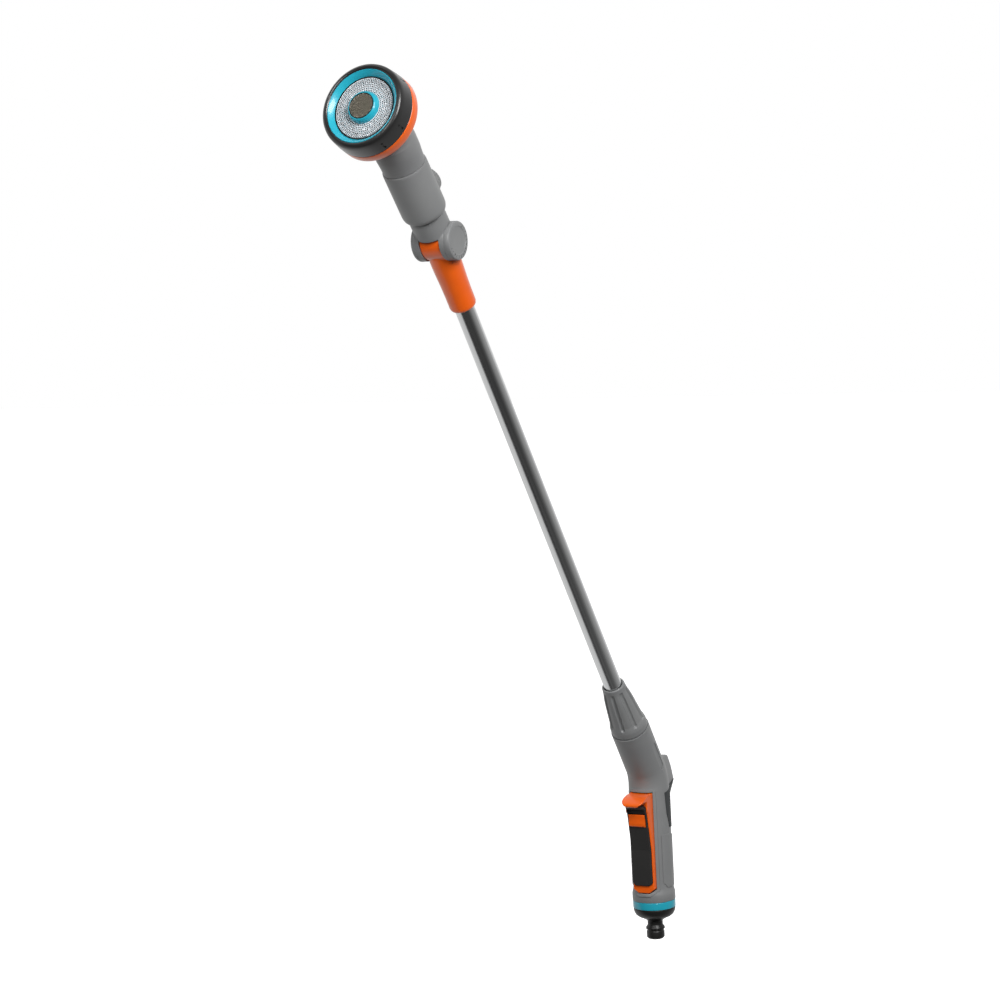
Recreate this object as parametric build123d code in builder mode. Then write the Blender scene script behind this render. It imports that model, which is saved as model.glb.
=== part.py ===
from build123d import *
import os
from math import cos, radians, sin, sqrt, tan

os.makedirs("parts", exist_ok=True)

# A watering wand: a pistol-like grip with a squeeze lever and a valve, an aluminium tube that
# leans forward from it, and a spray head on a tilt joint. Millimetres, +Z up along the grip.
# The origin is on the grip axis, where the hose nipple's sealing land begins. -Y is the front,
# where the lever is and where the water goes, and the wand is mirrored about X = 0.

# Clearances
fit_gap = 0.05
run_gap = 0.06
air_gap = 0.35
seal_gap = 0.02
seam_gap = 0.5

# Layout of the three axes
elbow_height = 155.7
bend_angle = 33.6
elbow_radius = 40.0
barrel_distance = 615.6
head_angle = 4.0
face_rise = 155.5
face_forward = 19.6
face_angle = 29.9

# Handle housing
wall = 2.4
grip_radius = 19.2
heel_radius = 20.4
heel_bottom = 36.4
heel_top = 43.0
heel_taper = 6.0
neck_radius = 18.25
neck_length = 60.1
hump_reach = 32.0
hump_height = 147.0
hump_length = 25.5
hump_step = 11.5
hump_half_width = 11.2

# Hose connector
nipple_radius = 8.5
nipple_land = 6.0
nipple_tip = 1.6
nipple_ridge = 9.0
nipple_waist = 7.3
inlet_bore = 5.0
cap_height = 17.2
ring_bottom = 29.0
ring_radius = 20.2
spigot_top = 42.5
spigot_wall = 3.4
strainer_length = 12.0
strainer_wall = 0.8

# Squeeze lever
pin_forward = 13.0
pin_height = 54.0
pin_radius = 2.0
pin_bearing = 1.3
lever_half_width = 11.3
lever_bottom = 46.2
lever_reach = 87.5
lever_top = pin_height + lever_reach
lever_chin = 4.2
lever_face = 21.0
lean_start = 88.0
lean_angle = 9.3
lever_wall = 1.5
lever_back = 11.5
lever_top_wall = 15.6
beak_reach = 40.0
beak_height = lever_top - 7.5
beak_corner = 6.5
pad_bottom = lever_bottom + 7.4
pad_top = beak_height - 2.0
pad_depth = 2.8
pad_proud = 2.2
pad_corner = 4.0
pad_floor = 1.1
floor_thickness = 2.2

# Lock button on the lever
lock_bottom = pad_top - 21.0
lock_height = 11.8
lock_travel = 5.0
lock_stem = 5.0
lock_margin = 1.6
lock_edges = (3.8, 3.6, 2.4)

# Valve under the lever
valve_height = lock_bottom - 3.0
valve_back = 4.0
valve_radius = 9.5
valve_foot = 2.4
boss_radius = 6.4
boss_front = 7.4
chamber_radius = 6.0
rod_radius = 3.0
rod_tip = 13.7
disc_radius = 5.2
spring_wire = 0.9
spring_turns = 4
spring_core = 2.2
seat_width = 1.6
cap_depth = 3.0
pipe_radius = 6.0
pipe_bore = 4.2
pipe_start = valve_height + 13.0
pipe_sweep = 24.0
valve_top = pipe_start + 9.0

# Tube and what holds it in the neck
tube_radius = 8.5
tube_wall = 1.0
tube_start = 26.0
tube_top = 577.0
socket_start = 18.0
socket_top = 66.0
nut_start = 60.8
nut_shoulder = 67.0
nut_top = 115.5
nut_radius = 17.5
nut_rim = 10.7
flute_count = 12
flute_radius = 2.6
seal_wire = 1.5
slit_width = 1.2

# Orange lower half of the tilt joint
joint_bottom = 549.0
joint_radius = 11.7
joint_shoulder = 12.9
knuckle_radius = 15.4
knuckle_half_width = 9.15
spindle_radius = 6.0
spindle_bore = 3.8
small_wire = 1.2
pivot_ring_offset = 6.6

# Grey upper half of the tilt joint
cheek_radius = 16.3
cheek_half_width = 14.1
cap_reach_right = 19.6
cap_reach_left = 17.4
web_bottom = 11.1
fork_radius = 15.85
sleeve_start = 30.0
sleeve_top = 80.0
sleeve_radius = 19.2
sleeve_wall = 2.4

# Flow control in the head sleeve
flow_height = 49.5
knob_radius = 13.5
knob_seat = 16.2
knob_face = 21.4
spindle_rod = 4.5
flow_port = 3.0
screw_radius = 1.6
screw_length = 7.0
screw_head = 3.0
flow_ring_height = 9.0

# Spray face: depths are measured back from the front plane
rim_radius = 36.6
rim_flare = 0.9
rim_depth = 17.4
bezel_radius = 31.7
plate_radius = 26.4
plate_depth = 5.3
plate_thickness = 2.4
cone_base = 13.9
cone_top = 11.9
mesh_radius = 10.4
mesh_thickness = 0.5
ring_depth = 10.6
dome_wall = 2.4
axle_radius = 4.0
outer_ports = 21.0
inner_ports = 8.5
mark_angles = (40, -26, -57)

# Frames of the grip, the tube, the tilt joint and the spray face
grip_plane = Plane.XY
bend = radians(bend_angle)
tube_plane = Plane(
    origin=(0, 0, elbow_height), x_dir=(1, 0, 0), z_dir=(0, -sin(bend), cos(bend))
)
head_lean = bend + radians(head_angle)
tilt_plane = Plane(
    origin=tube_plane.from_local_coords((0, 0, barrel_distance)),
    x_dir=(1, 0, 0),
    z_dir=(0, -sin(head_lean), cos(head_lean)),
)
face_lean = head_lean + radians(face_angle)
face_plane = Plane(
    origin=tilt_plane.from_local_coords((0, -face_forward, face_rise)),
    x_dir=(1, 0, 0),
    z_dir=(0, -sin(face_lean), cos(face_lean)),
)
barrel_plane = Plane(
    origin=tilt_plane.origin, x_dir=tilt_plane.y_dir, z_dir=tilt_plane.x_dir
)
knob_plane = Plane(
    origin=tilt_plane.from_local_coords((0, 0, flow_height)),
    x_dir=(1, 0, 0),
    z_dir=tilt_plane.y_dir,
)
valve_plane = Plane(origin=(0, 0, valve_height), x_dir=(1, 0, 0), z_dir=(0, 1, 0))
pin_plane = Plane(
    origin=(0, -pin_forward, pin_height), x_dir=(0, 1, 0), z_dir=(1, 0, 0)
)


def upright(base):
    """The plane through the base's axis that faces its front: sketch x is X, sketch y the axis."""
    return Plane(origin=base.origin, x_dir=base.x_dir, z_dir=-base.y_dir)


def shifted(base, across, back):
    """The same plane with its origin moved across and back."""
    return Plane(
        origin=base.from_local_coords((across, back, 0)), x_dir=base.x_dir, z_dir=base.z_dir
    )


def turn(base, outline, mode=Mode.ADD):
    """Turn an outline of (radius, height) points about the base plane's own axis."""
    with BuildSketch(upright(base)) as profile:
        with BuildLine():
            Polyline(*outline, close=True)
        make_face()
    revolve(profile.sketch, axis=Axis(base.origin, base.z_dir), mode=mode)


def drum(base, radius, low, high, mode=Mode.ADD):
    """A round bar on the base plane's axis, from one height to the other."""
    turn(base, [(0, low), (radius, low), (radius, high), (0, high)], mode)


def tube(base, outer, inner, low, high, mode=Mode.ADD):
    """A plain ring on the base plane's axis."""
    turn(base, [(inner, low), (outer, low), (outer, high), (inner, high)], mode)


def slab(plane, points, half_width, mode=Mode.ADD):
    """A straight-sided outline extruded equally to both sides of its plane."""
    with BuildSketch(plane) as profile:
        with BuildLine():
            Polyline(*points, close=True)
        make_face()
    extrude(profile.sketch, amount=half_width, both=True, mode=mode)


def block(plane, width, height, near, far, mode=Mode.ADD):
    """A rectangle centred on a plane and extruded between two distances from it."""
    with BuildSketch(plane.offset(near)) as profile:
        Rectangle(width, height)
    extrude(profile.sketch, amount=far - near, mode=mode)


def seal_ring(base, inside, wire, height):
    """A round-section seal ring of the given inner radius."""
    with BuildSketch(upright(base)) as profile:
        with Locations((inside + wire / 2, height)):
            Circle(wire / 2)
    revolve(profile.sketch, axis=Axis(base.origin, base.z_dir))


def seal_groove(base, inside, depth, height):
    """The groove in a bore for a seal ring, a little longer than the ring is thick."""
    half = depth / 2 + 0.2
    tube(base, inside + depth, inside, height - half, height + half, Mode.SUBTRACT)


def finish(piece, name):
    """Label a finished piece and write it to its own STEP file."""
    piece.part.label = name
    export_step(piece.part, f"parts/{name}.step")


# ---------------------------------------------------------------- hose connector
spigot_radius = heel_radius - wall - fit_gap
spigot_bore = spigot_radius - spigot_wall
ring_top = heel_bottom - fit_gap
cap_radius = ring_radius - 0.3
ridge_height = nipple_land + 3.6

with BuildPart() as hose_connector:
    turn(
        grip_plane,
        [
            (inlet_bore, -nipple_tip),
            (nipple_radius - 2.0, -nipple_tip),
            (nipple_radius, 0),
            (nipple_radius, nipple_land),
            (nipple_radius - 0.7, nipple_land + 0.3),
            (nipple_radius - 0.7, nipple_land + 1.2),
            (nipple_ridge, nipple_land + 1.7),
            (nipple_ridge, ridge_height),
            (nipple_waist, ridge_height + 2.2),
            (nipple_waist, cap_height - 1.2),
            (nipple_radius + 1.0, cap_height),
            (cap_radius - 2.4, cap_height + 4.2),
            (cap_radius - 0.7, cap_height + 7.6),
            (cap_radius, ring_bottom - 0.6),
            (cap_radius, ring_bottom),
            (spigot_radius, ring_bottom),
            (spigot_radius, spigot_top),
            (spigot_bore, spigot_top),
            (spigot_bore, ring_bottom - 4.0),
            (inlet_bore, ring_bottom - 4.0),
        ],
    )
finish(hose_connector, "hose_connector")

with BuildPart() as inlet_ring:
    turn(
        grip_plane,
        [
            (spigot_radius + fit_gap, ring_bottom + fit_gap),
            (ring_radius - 0.3, ring_bottom + fit_gap),
            (ring_radius, ring_bottom + 0.6),
            (ring_radius, ring_top - 0.6),
            (ring_radius - 0.3, ring_top),
            (spigot_radius + fit_gap, ring_top),
        ],
    )
finish(inlet_ring, "inlet_ring")

# The strainer is a cup that stands on the connector's floor.
strainer_floor = ring_bottom - 4.0 + fit_gap
strainer_radius = inlet_bore + 2.0
with BuildPart() as inlet_strainer:
    turn(
        grip_plane,
        [
            (inlet_bore, strainer_floor),
            (spigot_bore - fit_gap, strainer_floor),
            (spigot_bore - fit_gap, strainer_floor + 1.2),
            (strainer_radius, strainer_floor + 1.2),
            (strainer_radius - 1.0, strainer_floor + strainer_length),
            (0, strainer_floor + strainer_length),
            (0, strainer_floor + strainer_length - strainer_wall),
            (strainer_radius - 1.0 - strainer_wall, strainer_floor + strainer_length - strainer_wall),
            (strainer_radius - 0.9, strainer_floor + 1.2),
            (inlet_bore, strainer_floor + strainer_wall),
        ],
    )
finish(inlet_strainer, "inlet_strainer")

# ---------------------------------------------------------------- handle housing
bend_tangent = elbow_radius * tan(bend / 2)
elbow_start = elbow_height - bend_tangent
grip_inside = grip_radius - wall
neck_inside = neck_radius - wall
side_plane = Plane.YZ
front_plane = Plane.XZ


def elbow_shell(inset, mode=Mode.ADD):
    """The bent stretch between grip and neck, drawn through circles along its arc."""
    steps = 4
    with BuildSketch(grip_plane.offset(elbow_start)) as first:
        Circle(grip_radius - inset)
    circles = [first.sketch]
    for step in range(1, steps + 1):
        turned = bend * step / steps
        centre = (
            0,
            -elbow_radius * (1 - cos(turned)),
            elbow_start + elbow_radius * sin(turned),
        )
        station = Plane(
            origin=centre, x_dir=(1, 0, 0), z_dir=(0, -sin(turned), cos(turned))
        )
        share = step / steps
        with BuildSketch(station) as circle:
            Circle(grip_radius + (neck_radius - grip_radius) * share - inset)
        circles.append(circle.sketch)
    loft(circles, ruled=True, mode=mode)


# The lever's opening in the front of the grip keeps air round the lever as it turns.
opening_half_width = lever_half_width + air_gap
pin_half_length = opening_half_width + pin_bearing
opening_top = lever_top + 2 * air_gap
opening_bottom = lever_bottom - 2 * air_gap
opening_outline = [
    (-opening_half_width, opening_top),
    (-opening_half_width, opening_bottom + lever_chin),
    (-opening_half_width / 2, opening_bottom),
    (opening_half_width / 2, opening_bottom),
    (opening_half_width, opening_bottom + lever_chin),
    (opening_half_width, opening_top),
]

# Soft inlay under the palm: a sector of the grip's skin, carried up under the hump.
inlay_depth = 1.6
inlay_bottom = 104.5
inlay_top = 138.5
inlay_edge = [
    (1.5, inlay_bottom),
    (-3.3, inlay_bottom + 15.0),
    (-4.9, inlay_top - 2.0),
    (-2.0, inlay_top),
    (grip_radius + 5, inlay_top),
    (grip_radius + 5, inlay_bottom),
]
hump_rise = 1.6


def inlay_sector(gap, mode=Mode.ADD):
    """The inlay's sector of skin, with its floor lowered by a gap."""
    with BuildPart(mode=Mode.PRIVATE) as sector:
        slab(side_plane, inlay_edge, grip_radius + 2)
        tube(
            grip_plane,
            grip_radius + 0.3,
            grip_radius - inlay_depth - gap,
            inlay_bottom - 1,
            inlay_top + 1,
            Mode.INTERSECT,
        )
    add(sector.part, mode=mode)
    # the strip that lies along the underside of the hump
    inside = grip_radius - inlay_depth
    hump_under = [
        (inside - gap, inlay_top - 6.0),
        (grip_radius + 0.3, inlay_top - 7.0),
        (hump_reach - 1.2, hump_height - 1.0),
        (hump_reach - 1.2 - hump_rise, hump_height - 1.0 + hump_rise + gap),
        (inside - gap, inlay_top + 1.0 + gap),
    ]
    slab(side_plane, hump_under, hump_half_width - 1.4 + gap, mode)


panel_depth = 1.2
panel_edge = [
    (-10.8, inlay_bottom + 2.0),
    (-10.8, pin_height + 1.0),
    (-6.0, heel_top + heel_taper + 0.8),
    (grip_radius + 2, heel_top + heel_taper + 0.8),
    (grip_radius + 2, inlay_bottom - 4.0),
    (0.3, inlay_bottom - 3.0),
]


def panel_sector(gap, mode=Mode.ADD):
    """The rear panel's sector of skin, with its floor lowered by a gap."""
    with BuildPart(mode=Mode.PRIVATE) as sector:
        slab(side_plane, panel_edge, grip_radius + 2)
        tube(
            grip_plane,
            grip_radius + 0.5,
            grip_radius - panel_depth - gap,
            heel_top,
            inlay_top,
            Mode.INTERSECT,
        )
    add(sector.part, mode=mode)


with BuildPart() as handle_housing:
    turn(
        grip_plane,
        [
            (0, heel_bottom),
            (heel_radius, heel_bottom),
            (heel_radius, heel_top),
            (grip_radius, heel_top + heel_taper),
            (grip_radius, elbow_start),
            (0, elbow_start),
        ],
    )
    elbow_shell(0)
    drum(tube_plane, neck_radius, bend_tangent, neck_length)
    slab(
        side_plane,
        [
            (0, inlay_top - 4.0),
            (grip_radius - 0.2, inlay_top - 7.0),
            (hump_reach - 0.6, hump_height - 1.4),
            (hump_reach, hump_height + 1.5),
            (hump_reach - 5.0, hump_height + 0.55 * hump_length),
            (hump_reach - hump_step, hump_height + hump_length),
            (0, hump_height + hump_length),
        ],
        hump_half_width,
    )
    drum(grip_plane, heel_radius - wall, heel_bottom - 1, spigot_top + 0.6, Mode.SUBTRACT)
    drum(grip_plane, grip_inside, spigot_top, elbow_start, Mode.SUBTRACT)
    elbow_shell(wall, Mode.SUBTRACT)
    drum(tube_plane, neck_inside, bend_tangent, neck_length + 1, Mode.SUBTRACT)
    # pads inside the front of the grip carry the lever's pin on both sides of the opening
    for side in (-1, 1):
        with BuildSketch(pin_plane.offset(side * opening_half_width)) as ear:
            Circle(pin_radius + 2.0)
        extrude(ear.sketch, amount=side * (pin_bearing + 0.5))
    with BuildSketch(front_plane) as opening:
        with BuildLine():
            Polyline(*opening_outline, close=True)
        make_face()
    extrude(opening.sketch, amount=heel_radius + 5, mode=Mode.SUBTRACT)
    pin_hole_end = pin_half_length + fit_gap
    drum(pin_plane, pin_radius + fit_gap, -pin_hole_end, pin_hole_end, Mode.SUBTRACT)
    inlay_sector(fit_gap, Mode.SUBTRACT)
    panel_sector(fit_gap, Mode.SUBTRACT)
finish(handle_housing, "handle_housing")

with BuildPart() as palm_inlay:
    inlay_sector(0)
finish(palm_inlay, "palm_inlay")

with BuildPart() as rear_grip_panel:
    panel_sector(0)
finish(rear_grip_panel, "rear_grip_panel")

# ---------------------------------------------------------------- squeeze lever
lean = tan(radians(lean_angle))


def face_at(height):
    """How far the lever's face stands in front of the grip axis at a height."""
    return lever_face + max(0.0, height - lean_start) * lean


def behind_face(depth, low, high):
    """The line that runs a given depth behind the lever's face."""
    return [
        (depth - face_at(low), low),
        (depth - lever_face, lean_start),
        (depth - face_at(high), high),
    ]


def lever_front(half_width, mode=Mode.INTERSECT):
    """Trim to the lever's outline as seen from the front, with its blunt lower end."""
    with BuildSketch(front_plane) as outline:
        with BuildLine():
            Polyline(
                (-half_width, lever_top + 2),
                (-half_width, lever_bottom + lever_chin),
                (-half_width / 2, lever_bottom),
                (half_width / 2, lever_bottom),
                (half_width, lever_bottom + lever_chin),
                (half_width, lever_top + 2),
                close=True,
            )
        make_face()
    extrude(outline.sketch, amount=beak_reach + 5, mode=mode)


def on_top_arc(forward):
    """A point of the lever's top, which is an arc about its pin."""
    return (-forward, pin_height + sqrt(lever_reach**2 - (forward - pin_forward) ** 2))


root_height = pad_top - 10.0
beak_start = lever_face + 8.0
lever_top_back = on_top_arc(lever_back)
lever_top_middle = on_top_arc((lever_back + beak_start) / 2)
lever_top_front = on_top_arc(beak_start)

with BuildPart() as beak_plan:
    # the beak's front corners are rounded when seen from above
    with BuildSketch(grip_plane.offset(lever_bottom - 1)) as plan:
        with Locations((0, -beak_reach / 2)):
            Rectangle(2 * lever_half_width, beak_reach)
        fillet(plan.vertices().group_by(Axis.Y)[0], beak_corner)
    extrude(plan.sketch, amount=lever_top - lever_bottom + 3)

visor_half_width = lever_half_width + 1
visor_side = beak_height + 2.5
visor_middle = beak_height - 3.4
visor_foot = root_height - 8.0
with BuildPart() as visor_cut:
    # seen from the front, the beak's lower edge droops in the middle like a visor
    with BuildSketch(front_plane.offset(face_at(root_height) + 1.5)) as arch:
        with BuildLine():
            low_left = (-visor_half_width, visor_side)
            low_right = (visor_half_width, visor_side)
            ThreePointArc(low_left, (0, visor_middle), low_right)
            Polyline(
                low_right,
                (visor_half_width, visor_foot),
                (-visor_half_width, visor_foot),
                low_left,
            )
        make_face()
    extrude(arch.sketch, amount=beak_reach)

pad_half_width = lever_half_width - lever_wall + 0.15
pocket_proud = 9.0


def pad_space(depth, proud, half_width, low, high):
    """The space in front of a depth behind the face, inside the pad's rounded outline."""
    with BuildPart(mode=Mode.PRIVATE) as space:
        slab(
            side_plane,
            behind_face(depth, low, high) + list(reversed(behind_face(-proud, low, high))),
            half_width,
        )
        with BuildSketch(front_plane) as outline:
            with Locations((0, (low + high) / 2)):
                RectangleRounded(2 * half_width, high - low, pad_corner)
        extrude(outline.sketch, amount=beak_reach + 5, mode=Mode.INTERSECT)
    return space.part


nub_front = rod_tip + air_gap
stem_low = lock_bottom + 3.4
stem_high = lock_bottom + lock_height - 2.6
with BuildPart() as stem_slot:
    # the lock button's stem slides in this slot through the pad and the lever's floor
    slab(
        side_plane,
        [
            (-lever_back, stem_low - air_gap),
            (-lever_back, stem_high + lock_travel + air_gap),
            (-beak_reach, stem_high + lock_travel + air_gap),
            (-beak_reach, stem_low - air_gap),
        ],
        lock_stem / 2 + air_gap,
    )

beak_tip = (-beak_reach, beak_height)
beak_under = (-beak_reach + 2.2, beak_height - 2.2)
beak_root = (-face_at(root_height), root_height)
hollow_top = lever_top + 1.0
nub_radius = rod_radius + 0.5
nub_back = face_at(valve_height - nub_radius) - pad_depth - 0.5
with BuildPart() as trigger_frame:
    with BuildSketch(side_plane) as side:
        with BuildLine():
            ThreePointArc(lever_top_back, lever_top_middle, lever_top_front)
            Spline(lever_top_front, (-beak_reach + 3.0, beak_height + 2.4), beak_tip)
            ThreePointArc(beak_tip, (-beak_reach + 0.6, beak_height - 1.6), beak_under)
            Spline(beak_under, (beak_root[0] - 4.0, beak_height - 5.6), beak_root)
            Polyline(
                beak_root,
                (-lever_face, lean_start),
                (-lever_face, lever_bottom),
                (-lever_back, lever_bottom),
                lever_top_back,
            )
        make_face()
    extrude(side.sketch, amount=lever_half_width, both=True)
    lever_front(lever_half_width)
    add(beak_plan.part, mode=Mode.INTERSECT)
    add(visor_cut.part, mode=Mode.SUBTRACT)
    # hollow back between the side walls, open at the top where the water pipe passes
    slab(
        side_plane,
        behind_face(pad_depth + floor_thickness, pad_bottom + 2, pad_top + 2)
        + [
            (-lever_top_wall, pad_top + 2),
            (-lever_top_wall, hollow_top),
            (0, hollow_top),
            (0, pad_bottom + 2),
        ],
        lever_half_width - lever_wall,
        Mode.SUBTRACT,
    )
    add(
        pad_space(pad_depth, pocket_proud, pad_half_width, pad_bottom, pad_top),
        mode=Mode.SUBTRACT,
    )
    add(stem_slot.part, mode=Mode.SUBTRACT)
    # nub that pushes the valve's rod
    with BuildSketch(valve_plane.offset(-nub_front)) as nub:
        Circle(nub_radius)
    extrude(nub.sketch, amount=nub_front - nub_back)
    drum(pin_plane, pin_radius + run_gap, -opening_half_width, opening_half_width, Mode.SUBTRACT)
finish(trigger_frame, "trigger_frame")

window_depth = pad_depth - pad_floor
window_bottom = lock_bottom - air_gap
window_top = lock_bottom + lock_height + lock_travel + air_gap
with BuildPart() as trigger_pad:
    pad_fit = pad_half_width - fit_gap
    add(pad_space(pad_depth, pad_proud, pad_fit, pad_bottom + fit_gap, pad_top - fit_gap))
    # window for the lock button and its travel, with the pad's thin floor left under it
    slab(
        side_plane,
        [
            (window_depth - face_at(window_bottom), window_bottom),
            (window_depth - face_at(window_top), window_top),
            (-beak_reach, window_top),
            (-beak_reach, window_bottom),
        ],
        pad_half_width + 1,
        Mode.SUBTRACT,
    )
    add(stem_slot.part, mode=Mode.SUBTRACT)
finish(trigger_pad, "trigger_pad")

lock_half_width = pad_half_width - lock_margin
lock_top = lock_bottom + lock_height
lock_middle = lock_bottom + 4.0
lock_back = window_depth - air_gap
foot_depth = pad_depth + floor_thickness + air_gap
foot_thickness = 1.5
low_edge, middle_edge, top_edge = lock_edges
with BuildPart() as lock_button:
    # a wedge whose lower edge stands out most, with a shallow hollow above it for the thumb
    with BuildSketch(side_plane) as side:
        with BuildLine():
            Polyline(
                (lock_back - face_at(lock_bottom), lock_bottom),
                (-low_edge - face_at(lock_bottom), lock_bottom),
                (-middle_edge - face_at(lock_middle), lock_middle),
                (-top_edge - face_at(lock_top), lock_top),
                (lock_back - face_at(lock_top), lock_top),
                close=True,
            )
        make_face()
        fillet(side.vertices().group_by(Axis.X)[0], 1.2)
    extrude(side.sketch, amount=lock_half_width, both=True)
    # the stem goes through the slot and the foot behind it keeps the button in
    slab(
        side_plane,
        [
            (foot_depth + foot_thickness - face_at(stem_low), stem_low),
            (lock_back - 0.7 - face_at(stem_low), stem_low),
            (lock_back - 0.7 - face_at(stem_high), stem_high),
            (foot_depth + foot_thickness - face_at(stem_high), stem_high),
        ],
        lock_stem / 2,
    )
    slab(
        side_plane,
        [
            (foot_depth - face_at(stem_low), stem_low),
            (foot_depth - face_at(stem_high), stem_high),
            (foot_depth + foot_thickness - face_at(stem_high), stem_high),
            (foot_depth + foot_thickness - face_at(stem_low), stem_low),
        ],
        lock_stem / 2 + 2.0,
    )
finish(lock_button, "lock_button")

with BuildPart() as trigger_pin:
    drum(pin_plane, pin_radius, -pin_half_length, pin_half_length)
finish(trigger_pin, "trigger_pin")

# ---------------------------------------------------------------- valve
column_plane = shifted(grip_plane, 0, valve_back)
inlet_bore_plane = shifted(grip_plane, 0, valve_back + 2.5)
outlet_bore_plane = shifted(grip_plane, 0, -2.2)
inlet_channel = 3.6
outlet_channel = 1.8
front_chamber = 3.8
stub_length = 1.0
seat_radius = rod_radius + seat_width
chamber_end = valve_back + valve_radius - cap_depth

with BuildPart() as valve_body:
    drum(grip_plane, grip_inside - 0.2, spigot_top, spigot_top + valve_foot)
    drum(column_plane, valve_radius, spigot_top, pipe_start + 2)
    drum(grip_plane, pipe_radius + 2.1, pipe_start - 5, valve_top)
    drum(valve_plane, boss_radius, -boss_front, valve_back)
    drum(valve_plane, chamber_radius, 0, valve_back + valve_radius + 1, Mode.SUBTRACT)
    drum(valve_plane, seat_radius, -front_chamber, 1, Mode.SUBTRACT)
    drum(valve_plane, rod_radius + run_gap, -boss_front - 1, 0, Mode.SUBTRACT)
    drum(inlet_bore_plane, inlet_channel, spigot_top - 1, valve_height - 3, Mode.SUBTRACT)
    drum(outlet_bore_plane, outlet_channel, valve_height, pipe_start + 1, Mode.SUBTRACT)
    drum(grip_plane, pipe_radius + fit_gap, pipe_start, valve_top + 1, Mode.SUBTRACT)
finish(valve_body, "valve_body")

disc_front = air_gap
disc_back = disc_front + 1.8
with BuildPart() as valve_plunger:
    drum(valve_plane, rod_radius, -rod_tip, disc_back)
    drum(valve_plane, disc_radius, disc_front, disc_back)
    drum(valve_plane, spring_core, disc_back, disc_back + stub_length)
finish(valve_plunger, "valve_plunger")

with BuildPart() as valve_cap:
    drum(valve_plane, chamber_radius - fit_gap, chamber_end, chamber_end + cap_depth)
    drum(valve_plane, spring_core, chamber_end - stub_length, chamber_end)
finish(valve_cap, "valve_cap")

with BuildPart() as valve_spring:
    # a closed coil between the plunger's disc and the cap
    coil_start = disc_back + spring_wire
    coil_length = chamber_end - disc_back - 2 * spring_wire
    coil_plane = valve_plane.offset(coil_start)
    coil_radius = (spring_core + disc_radius) / 2
    with BuildLine() as coil:
        Helix(
            pitch=coil_length / spring_turns,
            height=coil_length,
            radius=coil_radius,
            center=coil_plane.origin,
            direction=coil_plane.z_dir,
        )
    with BuildSketch(Plane(origin=coil.line @ 0, z_dir=coil.line % 0)) as wire:
        Circle(spring_wire / 2)
    sweep(wire.sketch, path=coil.line)
finish(valve_spring, "valve_spring")

with BuildPart() as water_pipe:
    pipe_end = socket_start + 6.0
    with BuildLine() as route:
        FilletPolyline(
            (0, 0, pipe_start + fit_gap),
            (0, 0, elbow_height),
            tube_plane.from_local_coords((0, 0, pipe_end)),
            radius=pipe_sweep,
        )
    with BuildSketch(grip_plane.offset(pipe_start + fit_gap)) as section:
        Circle(pipe_radius)
        Circle(pipe_bore, mode=Mode.SUBTRACT)
    sweep(section.sketch, path=route.line)
finish(water_pipe, "water_pipe")

# ---------------------------------------------------------------- tube mounting in the neck
tube_bore = tube_radius + fit_gap
seal_height = tube_start + 5.0
thread_radius = nut_radius - 3.5
flange_radius = neck_radius - 2.0
flange_top = nut_start - air_gap
with BuildPart() as tube_socket:
    turn(
        tube_plane,
        [
            (pipe_radius + fit_gap, socket_start),
            (neck_inside - fit_gap, socket_start),
            (neck_inside - fit_gap, neck_length),
            (flange_radius, neck_length),
            (flange_radius, flange_top),
            (thread_radius, flange_top),
            (thread_radius, socket_top),
            (tube_bore, socket_top),
            (tube_bore, tube_start),
            (pipe_radius + fit_gap, tube_start),
        ],
    )
    seal_groove(tube_plane, tube_radius, seal_wire, seal_height)
finish(tube_socket, "tube_socket")

with BuildPart() as tube_seal:
    seal_ring(tube_plane, tube_radius, seal_wire - seal_gap, seal_height)
finish(tube_seal, "tube_seal")

collet_bottom = socket_top + fit_gap
collet_top = collet_bottom + 8.0
collet_radius = thread_radius - 1.0
with BuildPart() as tube_collet:
    turn(
        tube_plane,
        [
            (tube_bore, collet_bottom),
            (collet_radius, collet_bottom),
            (collet_radius, collet_bottom + 2.0),
            (tube_bore + 1.2, collet_top),
            (tube_bore, collet_top),
        ],
    )
    # one slit at the front lets the ring close on the tube
    slit_plane = shifted(tube_plane, 0, -(tube_bore + collet_radius) / 2)
    block(slit_plane, slit_width, tube_bore, collet_bottom, collet_top, Mode.SUBTRACT)
finish(tube_collet, "tube_collet")

flute_depth = 1.2
low_centre = nut_radius - 0.6 + flute_radius - 1.6 * flute_depth
high_centre = nut_rim + 0.3 + flute_radius - flute_depth
with BuildPart() as flute:
    flute_low = tube_plane.from_local_coords((low_centre, 0, nut_shoulder + 3.6))
    flute_high = tube_plane.from_local_coords((high_centre, 0, nut_top - 4.0))
    with BuildSketch(Plane(origin=flute_low, z_dir=flute_high - flute_low)) as groove:
        Circle(flute_radius)
    extrude(groove.sketch, amount=(flute_high - flute_low).length)

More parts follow.
